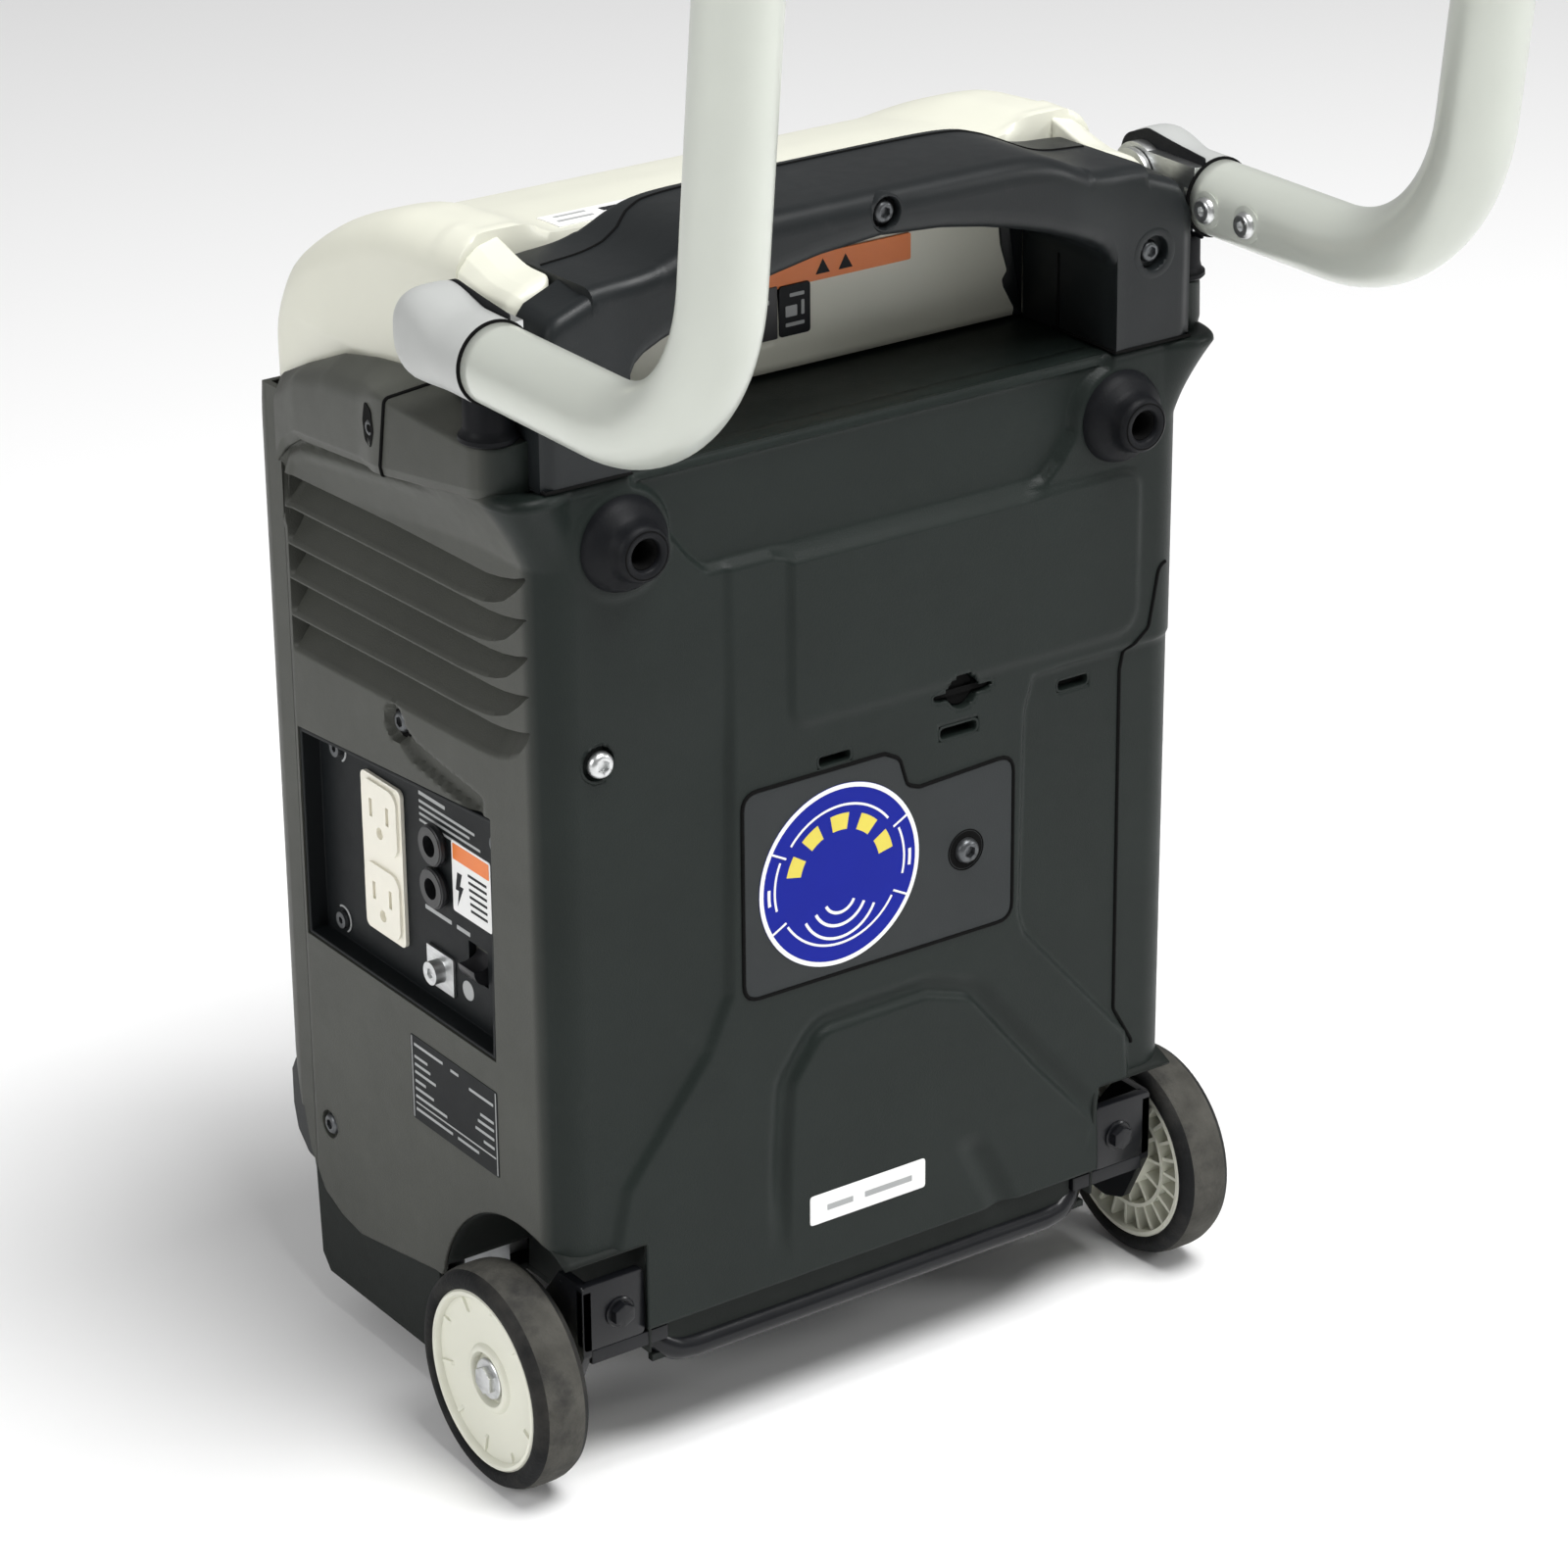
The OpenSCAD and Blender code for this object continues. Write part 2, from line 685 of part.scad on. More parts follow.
module handle_tube() color(silver) place() difference() {
    tube_path(tube_r, -4);
    both_sides() {
        translate([arm_x, -10, arm_z]) rotate([-90, 0, 0]) cylinder(h = 60, r = tube_r - 2);
        for (y = arm_screw_y) translate([arm_x - 20, y, arm_z]) rotate([0, 90, 0]) cylinder(h = 20, r = 3);
    }
}

module arm_brackets() color(zinc) place() both_sides() difference() {
    union() {
        translate([arm_x, -10, arm_z]) rotate([-90, 0, 0]) cylinder(h = 54, r = tube_r - 2.05);
        along_x(157.5, 5) {
            translate([pivot_y, pivot_z]) circle(14);
            translate([pivot_y, arm_z - 12]) square([-pivot_y - 4.1, 26]);
        }
    }
    translate([140, pivot_y, pivot_z]) rotate([0, 90, 0]) cylinder(h = 40, r = 6.05);
    for (y = arm_screw_y) translate([arm_x - 20, y, arm_z]) rotate([0, 90, 0]) cylinder(h = 15, r = 2.5);
}

module arm_collars() color([0.72, 0.73, 0.75]) place() both_sides() difference() {
    intersection() {
        union() {
            translate([arm_x, pivot_y, arm_z]) rotate([-90, 0, 0]) cylinder(h = -pivot_y - 4.3, r = 16.4);
            translate([0, pivot_y, pivot_z]) rotate([0, 90, 0]) rotate_extrude($fn = 96) polygon(concat(
                [[0, 155], [18, 155]],
                [for (a = [0:15:90]) [8 + 10.4 * cos(a), 174 + 12 * sin(a)]],
                [[0, 186]]));
        }
        translate([163, -80, 440]) cube([40, 90, 80]);
    }
    translate([150, pivot_y, pivot_z]) rotate([0, 90, 0]) cylinder(h = 20, r = 11);
    translate([arm_x, -10.2, arm_z]) rotate([-90, 0, 0]) cylinder(h = 20, r = tube_r - 2);
}

module arm_screws() color(zinc) place() both_sides() for (y = arm_screw_y)
    translate([arm_x - tube_r - 2.65, y, arm_z]) rotate([0, 90, 0]) {
        difference() {
            cylinder(h = 2.6, r1 = 4.2, r2 = 5.4);
            translate([0, 0, -0.01]) cylinder(h = 1.6, r = 2.2, $fn = 6);
        }
        translate([0, 0, 2.6]) cylinder(h = 9, r = 2.45);
    }

module grip_sleeve() color(black) place() translate([0, bar_y, bar_z]) rotate([0, 90, 0])
    difference() {
        rotate_extrude() polygon([
            [tube_r + 0.05, -62], [grip_r - 1.5, -62], [grip_r, -58], [grip_r - 0.8, -30],
            [grip_r, 0], [grip_r - 0.8, 30], [grip_r, 58], [grip_r - 1.5, 62], [tube_r + 0.05, 62]
        ]);
        translate([0, 0, -70]) cylinder(h = 140, r = tube_r + 0.02);
    }

module pivot_bolts() color(zinc) place() both_sides() translate([154.2, pivot_y, pivot_z])
    rotate([0, 90, 0]) {
        cylinder(h = 2.8, r = 12);
        cylinder(h = 9, r = 6);
        translate([0, 0, 8.6]) cylinder(h = 4.4, r = 9, $fn = 6);
    }

can_y = [-104, -171];
can_z = [449, 436];

module can_places() {
    for (i = [0, 1]) translate([0, can_y[i], can_z[i]]) children();
}

module can_cradle() color([0.55, 0.56, 0.57]) place() {
    difference() {
        union() {
            translate([-108, -201, 400]) cube([200, 133, 36]);
            translate([-half_w + wall + 0.1, -188, 400]) cube([60, 118, 4]);
        }
        translate([-120, 0, 0]) can_places() rotate([0, 90, 0]) cylinder(h = 240, r = can_r + 0.4);
        translate([-120, -210, 428]) cube([240, 30, 20]);
        for (x = [-100, 30]) translate([x, -195, 390]) cube([56, 120, 30]);
    }
    // block and pivot stud of the locking lever
    translate([-140, -140, 403.9]) cube([10, 16, 16.1]);
    translate([-130.1, -132, 412]) rotate([0, 90, 0]) cylinder(h = 13, r = 3);
}

module gas_cans() color([0.80, 0.30, 0.18]) place() can_places() rotate([0, 90, 0])
    rotate_extrude() polygon([
        [0, -92], [29, -92], [32, -90], [can_r, -87], [can_r, 70], [30, 74], [16, 80], [13, 88],
        [5, 88], [5, 92], [0, 92]
    ]);

module can_lever() color([0.85, 0.45, 0.10]) place() translate([-126, -132, 412]) rotate([0, 90, 0]) {
    difference() {
        union() {
            cylinder(h = 8, r = 7.5);
            translate([-52, -4, 0]) cube([50, 8, 6]);
            translate([-52, 0, 0]) cylinder(h = 14, r = 7);
        }
        translate([0, 0, -1]) cylinder(h = 20, r = 3.05);
    }
}

module gas_regulator() color(cast) place() {
    translate([92.1, -185, 404]) cube([34, 118, 12]);
    for (i = [0, 1]) translate([0, can_y[i], 0]) {
        translate([103, -6, 412]) cube([10, 12, can_z[i] - 414]);
        translate([93, 0, can_z[i]]) rotate([0, 90, 0]) difference() {
            cylinder(h = 20, r = 9);
            translate([0, 0, -1]) cylinder(h = 8, r = 5.2);
        }
    }
    translate([hose_x, hose_y, 372]) cylinder(h = 32.1, r = 20);
}

hose_r = 4.5;
hose_bend = 25;

// From the regulator down, across, back and down into the mixer
module gas_hose() color(black) place() {
    low = 285;
    translate([hose_x, hose_y, low + hose_bend]) {
        cylinder(h = 61.7, r = hose_r);
        dowel(hose_r);
    }
    translate([hose_x - hose_bend, hose_y, low + hose_bend]) rotate([90, 0, 0])
        rotate_extrude(angle = -90) translate([hose_bend, 0]) circle(hose_r);
    translate([intake_x + hose_bend, hose_y, low]) rotate([0, 90, 0]) {
        cylinder(h = hose_x - intake_x - 2 * hose_bend, r = hose_r);
        dowel(hose_r);
        translate([0, 0, hose_x - intake_x - 2 * hose_bend]) dowel(hose_r);
    }
    translate([intake_x + hose_bend, hose_y + hose_bend, low]) rotate([0, 0, 180])
        rotate_extrude(angle = 90) translate([hose_bend, 0]) circle(hose_r);
    translate([intake_x, hose_y + hose_bend, low]) rotate([-90, 0, 0]) {
        cylinder(h = 17, r = hose_r);
        dowel(hose_r);
        translate([0, 0, 17]) dowel(hose_r);
    }
    translate([intake_x, -82, low - hose_bend]) rotate([90, 0, 90])
        rotate_extrude(angle = 90) translate([hose_bend, 0]) circle(hose_r);
    translate([intake_x, -57, 150.1]) {
        cylinder(h = low - hose_bend - 150.1, r = hose_r);
        translate([0, 0, low - hose_bend - 150.1]) dowel(hose_r);
    }
}

module crankcase() color(cast) place() translate([crank_x, crank_y, 0]) difference() {
    union() {
        translate([0, 0, 78]) cylinder(h = 92, r = 44);
        translate([0, 0, 170]) cylinder(h = 6, r = 18);
        translate([-100, 0, rod_z]) rotate([0, 90, 0]) cylinder(h = 66, r = 27);
        for (i = [0:5]) translate([-96 + i * 8, -34, rod_z - 34]) cube([3, 64, 68]);
        // head and valve cover
        translate([-116, -32, rod_z - 32]) cube([17, 64, 64]);
        translate([-124, -24, rod_z - 14]) cube([9, 48, 42]);
        for (sx = [-30, 30], sy = [-30, 30]) translate([sx, sy, 72]) cylinder(h = 10, r = 9);
        translate([30, 15, 130]) rotate([-90, 0, 0]) cylinder(h = 27, r = 12);
    }
    translate([0, 0, 84]) cylinder(h = 80, r = 39);
    translate([0, 0, 100]) cylinder(h = 100, r = 10.05);
    translate([-102, 0, rod_z]) rotate([0, 90, 0]) cylinder(h = 90, r = 22.05);
    translate([-108, -50, rod_z + 14]) rotate([-90, 0, 0]) cylinder(h = 26, r = 5);
    // oil filler mouth
    translate([30, 10, 130]) rotate([-90, 0, 0]) cylinder(h = 50, r = 9.05);
}

module crankshaft() color(zinc) place() translate([crank_x, crank_y, 0]) {
    translate([0, 0, 138]) cylinder(h = 118, r = 10);
    translate([0, 0, 130]) cylinder(h = 8.1, r = 28);
    translate([-crank_r, 0, 121.5]) cylinder(h = 9, r = 8);
}

module piston() color(cast) place() translate([crank_x - crank_r - rod_len, crank_y, rod_z])
    difference() {
        translate([-16, 0, 0]) rotate([0, 90, 0]) cylinder(h = 28, r = 22);
        translate([-11, -8.3, -30]) cube([60, 16.6, 60]);
        for (x = [-13, -9]) translate([x, 0, 0]) rotate([0, 90, 0]) difference() {
            cylinder(h = 1.4, r = 30);
            cylinder(h = 1.4, r = 20.4);
        }
        translate([0, -30, 0]) rotate([-90, 0, 0]) cylinder(h = 60, r = 5);
    }

module connecting_rod() color(zinc) place() translate([crank_x - crank_r, crank_y, rod_z]) {
    translate([0, 0, -8]) difference() {
        cylinder(h = 16, r = 12);
        translate([0, 0, -1]) cylinder(h = 20, r = 8.1);
    }
    translate([-rod_len + 6, -4, -5]) cube([rod_len - 16, 8, 10]);
    translate([-rod_len, -8, 0]) rotate([-90, 0, 0]) difference() {
        cylinder(h = 16, r = 8);
        translate([0, 0, -1]) cylinder(h = 20, r = 5);
    }
    translate([-rod_len, -21, 0]) rotate([-90, 0, 0]) cylinder(h = 42, r = 4.98);
}

module spark_plug() color([0.92, 0.92, 0.90]) place()
    translate([crank_x - 108, crank_y - 50, rod_z + 14]) rotate([-90, 0, 0]) {
        translate([0, 0, 6.1]) cylinder(h = 18, r = 4.95);
        cylinder(h = 6.2, r = 8, $fn = 6);
        translate([0, 0, -24]) cylinder(h = 24, r = 4.5);
    }

module muffler() color([0.45, 0.42, 0.40]) place() {
    difference() {
        union() {
            translate([-118, -198, 84]) cube([128, 30, 80]);
            translate([-134, -198, 88]) cube([20, 30, 24]);
        }
        translate([-115, -195, 87]) cube([122, 24, 74]);
        translate([-131, -195, 91]) cube([20, 24, 18]);
        translate([-60, -184, 150]) cylinder(h = 30, r = 7);
    }
    translate([-60, -184, 161]) difference() {
        cylinder(h = 16, r = 9);
        translate([0, 0, -1]) cylinder(h = 30, r = 7);
    }
    translate([-125, -168.1, 100]) rotate([-90, 0, 0]) cylinder(h = 16.1, r = 6);
}

module alternator_stator() color([0.72, 0.42, 0.20]) place() translate([crank_x, crank_y, 0]) {
    difference() {
        translate([0, 0, 176.2]) cylinder(h = 30, r = 20);
        translate([0, 0, 170]) cylinder(h = 50, r = 11);
    }
    for (a = [0:30:330]) rotate([0, 0, a]) translate([19, -5, 180]) cube([29, 10, 24]);
}

module alternator_rotor() color([0.35, 0.36, 0.38]) place() translate([crank_x, crank_y, 0])
    difference() {
        translate([0, 0, 178]) cylinder(h = 44, r = 60, $fn = 96);
        translate([0, 0, 177]) cylinder(h = 38, r = 52, $fn = 96);
        translate([0, 0, 170]) cylinder(h = 60, r = 10);
    }

module cooling_fan() color([0.20, 0.20, 0.22]) place() translate([crank_x, crank_y, 222.1])
    difference() {
        union() {
            cylinder(h = 3, r = 62, $fn = 96);
            cylinder(h = 22, r = 16);
            for (a = [0:30:330]) rotate([0, 0, a]) translate([15, -1, 0]) cube([46, 2, 18]);
        }
        translate([0, 0, -1]) cylinder(h = 40, r = 10);
    }

module recoil_housing() color([0.25, 0.26, 0.28]) place() translate([crank_x, crank_y, 0]) difference() {
    union() {
        translate([0, 0, 248]) cylinder(h = 32, r = 66, $fn = 96);
        for (a = [45:90:315]) rotate([0, 0, a]) translate([62, -6, 176.2]) cube([8, 12, 80]);
    }
    translate([0, 0, 247]) cylinder(h = 30, r = 63, $fn = 96);
    translate([0, 0, 276]) cylinder(h = 10, r = 3.05);
    translate([starter_x - crank_x, 0, starter_z]) rotate([90, 0, 0]) cylinder(h = 80, r = 4);
    for (a = [0:30:330]) rotate([0, 0, a]) translate([30, -4, 270]) cube([24, 8, 20]);
}

module recoil_pulley() color([0.85, 0.85, 0.82]) place() translate([crank_x, crank_y, 0]) {
    rotate_extrude($fn = 96) polygon([
        [0, 259], [38, 259], [38, 261.5], [31, 262.5], [31, 267.5], [38, 268.5], [38, 271], [0, 271]
    ]);
    translate([0, 0, 270.9]) cylinder(h = 8, r = 2.98);
}

module starter_rope() color([0.90, 0.88, 0.80]) place() translate([starter_x, -238, starter_z])
    rotate([-90, 0, 0]) {
        cylinder(h = 109, r = 1.75);
        translate([0, 0, 1]) sphere(r = 3);
    }

module starter_grip() color(black) place() translate([starter_x, 0, starter_z]) difference() {
    union() {
        translate([-24, starter_front, -6]) cube([48, 12, 12]);
        translate([0, -230, 0]) rotate([-90, 0, 0]) cylinder(h = 8.5, r = 7);
        translate([0, -222.5, 0]) rotate([-90, 0, 0]) cylinder(h = 1, r = 9);
    }
    translate([0, -245, 0]) rotate([-90, 0, 0]) cylinder(h = 40, r = 1.8);
    translate([0, -245, 0]) rotate([-90, 0, 0]) cylinder(h = 12, r = 3.4);
}

// Gas and air mixer with its intake pipe to the air cleaner
module mixer() color(cast) place() {
    pipe_y = -27;
    pipe_z = 240;
    pipe_r = 8;
    pipe_bend = 15;
    translate([intake_x - 13, -73, 116]) cube([26, 62, 34]);
    translate([intake_x, crank_y + 32, 132]) rotate([-90, 0, 0]) cylinder(h = -crank_y - 104, r = 8);
    translate([intake_x, pipe_y, 149.9]) cylinder(h = pipe_z - pipe_bend - 149.9, r = pipe_r);
    translate([intake_x, pipe_y, pipe_z - pipe_bend]) dowel(pipe_r);
    translate([intake_x + pipe_bend, pipe_y, pipe_z - pipe_bend]) rotate([90, 0, 0]) rotate([0, 0, 90])
        rotate_extrude(angle = 90) translate([pipe_bend, 0]) circle(pipe_r);
    translate([intake_x + pipe_bend, pipe_y, pipe_z]) rotate([0, 90, 0]) {
        cylinder(h = -58 - intake_x - pipe_bend, r = pipe_r);
        dowel(pipe_r);
    }
}

module air_cleaner() color([0.12, 0.12, 0.13]) place() difference() {
    translate([-60, -41, 202]) cube([118, 31, 76]);
    translate([-57, -38, 205]) cube([112, 25, 70]);
    translate([-61, -27, 240]) rotate([0, 90, 0]) cylinder(h = 5, r = 8);
}

module inverter_unit() color(silver) place() {
    translate([118, -192, floor_z - 15]) cube([22, 92, 122]);
    for (i = [0:5]) translate([104, -192 + i * 16, floor_z - 15]) cube([14.1, 4, 122]);
}

module engine_mounts() color(black) place() for (sx = [-30, 30], sy = [-30, 30])
    translate([crank_x + sx, crank_y + sy, floor_z - 15]) cylinder(h = 23, r = 12);

module oil_cap() color([0.85, 0.75, 0.15]) place() translate([crank_x + 30, crank_y + 34.3, 130])
    rotate([-90, 0, 0]) {
        cylinder(h = 8, r = 8.95);
        translate([0, 0, 8]) cylinder(h = 3, r = 13);
        translate([-11, -2, 11]) cube([22, 4, 10]);
    }

module engine_switch() color([0.75, 0.12, 0.10]) place() translate([100, -212, 330]) rotate([90, 0, 0]) {
    cylinder(h = 9, r = 8.4);
    translate([0, 0, 8.5]) cylinder(h = 3, r = 16);
    translate([-14, -3, 11.5]) cube([28, 6, 8]);
}

rear_shell();
front_shell();
side_cover();
base_tray();
shoulder_blocks();
shoulder_trims();
arm_stops();
grip_lower_shell();
grip_upper_shell();
case_screws();
rear_bumpers();
maintenance_door();
control_panel();
duplex_outlet();
parallel_sockets();
ground_terminal();
breaker_rocker();
panel_screws();
axle_frame();
frame_bolts();
hub_right();
tyre_right();
hub_left();
tyre_left();
front_feet();
handle_catches();
lid();
lid_hinge_pins();
lid_release();
handle_tube();
arm_brackets();
arm_collars();
arm_screws();
grip_sleeve();
pivot_bolts();
can_cradle();
gas_cans();
can_lever();
gas_regulator();
gas_hose();
crankcase();
crankshaft();
piston();
connecting_rod();
spark_plug();
muffler();
alternator_stator();
alternator_rotor();
cooling_fan();
recoil_housing();
recoil_pulley();
starter_rope();
starter_grip();
mixer();
air_cleaner();
inverter_unit();
engine_mounts();
oil_cap();
engine_switch();
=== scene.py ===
import math

import bmesh
import bpy
import numpy as np
from mathutils import Matrix, Vector


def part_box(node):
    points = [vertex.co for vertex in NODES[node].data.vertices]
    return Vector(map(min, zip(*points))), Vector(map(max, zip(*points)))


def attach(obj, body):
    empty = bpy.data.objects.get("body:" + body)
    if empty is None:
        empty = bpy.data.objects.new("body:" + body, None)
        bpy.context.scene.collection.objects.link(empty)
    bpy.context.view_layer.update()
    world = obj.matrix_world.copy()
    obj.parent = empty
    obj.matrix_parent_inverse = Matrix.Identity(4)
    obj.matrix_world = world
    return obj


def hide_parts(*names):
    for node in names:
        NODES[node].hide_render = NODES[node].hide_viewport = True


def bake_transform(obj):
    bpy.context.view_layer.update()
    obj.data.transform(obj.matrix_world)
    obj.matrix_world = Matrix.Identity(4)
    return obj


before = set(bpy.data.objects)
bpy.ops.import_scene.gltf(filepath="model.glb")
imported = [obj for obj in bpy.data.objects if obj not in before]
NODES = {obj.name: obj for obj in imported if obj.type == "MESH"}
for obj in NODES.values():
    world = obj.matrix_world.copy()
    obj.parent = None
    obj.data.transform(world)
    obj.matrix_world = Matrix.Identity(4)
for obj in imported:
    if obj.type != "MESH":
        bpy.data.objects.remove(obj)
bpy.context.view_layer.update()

# Shapes are given in millimetres, with Y measured from the plane of the rear face (+Y is behind it)
MM = 0.001
SIDES = ((1, "right"), (-1, "left"))
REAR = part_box("rear_shell")[1][1]


def row(points):
    """Millimetres from the rear plane to metres in the row frame."""
    out = np.array(points, float) * MM
    out[..., 1] += REAR
    return out


# ---------------------------------------------------------------- materials

def material(name, colour, rough, vary=0.08, mottle=18.0, grain=900.0, bump=0.25, depth=0.00025,
             rough_vary=0.06, metal=0.0, coat=0.0, spec=0.5, dust=None, dust_scale=35.0,
             dust_from=0.55, dust_to=0.8, streak=None, painted_side_sheen=None):
    """A moulded, painted or cast surface: mottled colour, grain in bump and roughness, and dust."""
    m = bpy.data.materials.new(name)
    m.use_nodes = True
    n, links = m.node_tree.nodes, m.node_tree.links
    b = n["Principled BSDF"]
    b.inputs["Metallic"].default_value = metal
    b.inputs["Coat Weight"].default_value = coat
    b.inputs["Coat Roughness"].default_value = 0.15
    b.inputs["Specular IOR Level"].default_value = spec
    tc = n.new("ShaderNodeTexCoord")
    src = tc.outputs["Object"]
    if streak:
        mp = n.new("ShaderNodeMapping")
        mp.inputs["Scale"].default_value = streak
        links.new(src, mp.inputs["Vector"])
        stretched = mp.outputs["Vector"]
    else:
        stretched = src

    def noise(scale, detail, vec=None, rough_=0.55):
        t = n.new("ShaderNodeTexNoise")
        t.inputs["Scale"].default_value = scale
        t.inputs["Detail"].default_value = detail
        t.inputs["Roughness"].default_value = rough_
        links.new(vec if vec is not None else src, t.inputs["Vector"])
        return t.outputs["Fac"]

    def ramp(value, lo, hi, c0, c1):
        r = n.new("ShaderNodeValToRGB")
        r.color_ramp.elements[0].position, r.color_ramp.elements[1].position = lo, hi
        r.color_ramp.elements[0].color = (*c0, 1)
        r.color_ramp.elements[1].color = (*c1, 1)
        links.new(value, r.inputs["Fac"])
        return r.outputs["Color"]

    c = np.array(colour, float)
    base = ramp(noise(mottle, 4, stretched), 0.3, 0.7, tuple(c * (1 - vary)),
                tuple(np.minimum(c * (1 + vary), 1)))
    if dust is not None:
        mask = ramp(noise(dust_scale, 6, None, 0.65), dust_from, dust_to, (0, 0, 0), (1, 1, 1))
        mix = n.new("ShaderNodeMix")
        mix.data_type = "RGBA"
        links.new(mask, mix.inputs["Factor"])
        links.new(base, mix.inputs["A"])
        mix.inputs["B"].default_value = (*dust, 1)
        base = mix.outputs["Result"]
    if painted_side_sheen is not None:        # painted sheen: paler towards the side walls, in place of the light they catch
        xyz = n.new("ShaderNodeSeparateXYZ")
        links.new(src, xyz.inputs["Vector"])
        away = n.new("ShaderNodeMath")
        away.operation = "ABSOLUTE"
        links.new(xyz.outputs["X"], away.inputs[0])
        mix = n.new("ShaderNodeMix")
        mix.data_type = "RGBA"
        outer = ramp(away.outputs["Value"], 0.137, 0.141, (0, 0, 0), (1, 1, 1))
        behind = ramp(xyz.outputs["Y"], REAR - 0.0168, REAR - 0.0105, (1, 1, 1), (0, 0, 0))
        both = n.new("ShaderNodeMath")
        both.operation = "MULTIPLY"
        links.new(outer, both.inputs[0])
        links.new(behind, both.inputs[1])
        links.new(both.outputs["Value"], mix.inputs["Factor"])
        links.new(base, mix.inputs["A"])
        side_sheen_colour = np.array(painted_side_sheen, float)
        links.new(ramp(noise(mottle, 4), 0.3, 0.7, tuple(side_sheen_colour * (1 - vary)), tuple(side_sheen_colour * (1 + vary))),
                  mix.inputs["B"])
        base = mix.outputs["Result"]
    links.new(base, b.inputs["Base Color"])
    fine = noise(grain, 3, stretched)
    mr = n.new("ShaderNodeMapRange")
    mr.inputs["To Min"].default_value = max(rough - rough_vary, 0.02)
    mr.inputs["To Max"].default_value = min(rough + rough_vary, 1)
    links.new(noise(mottle * 7, 4), mr.inputs["Value"])
    links.new(mr.outputs["Result"], b.inputs["Roughness"])
    bp = n.new("ShaderNodeBump")
    bp.inputs["Strength"].default_value = bump
    bp.inputs["Distance"].default_value = depth
    links.new(fine, bp.inputs["Height"])
    links.new(bp.outputs["Normal"], b.inputs["Normal"])
    return m


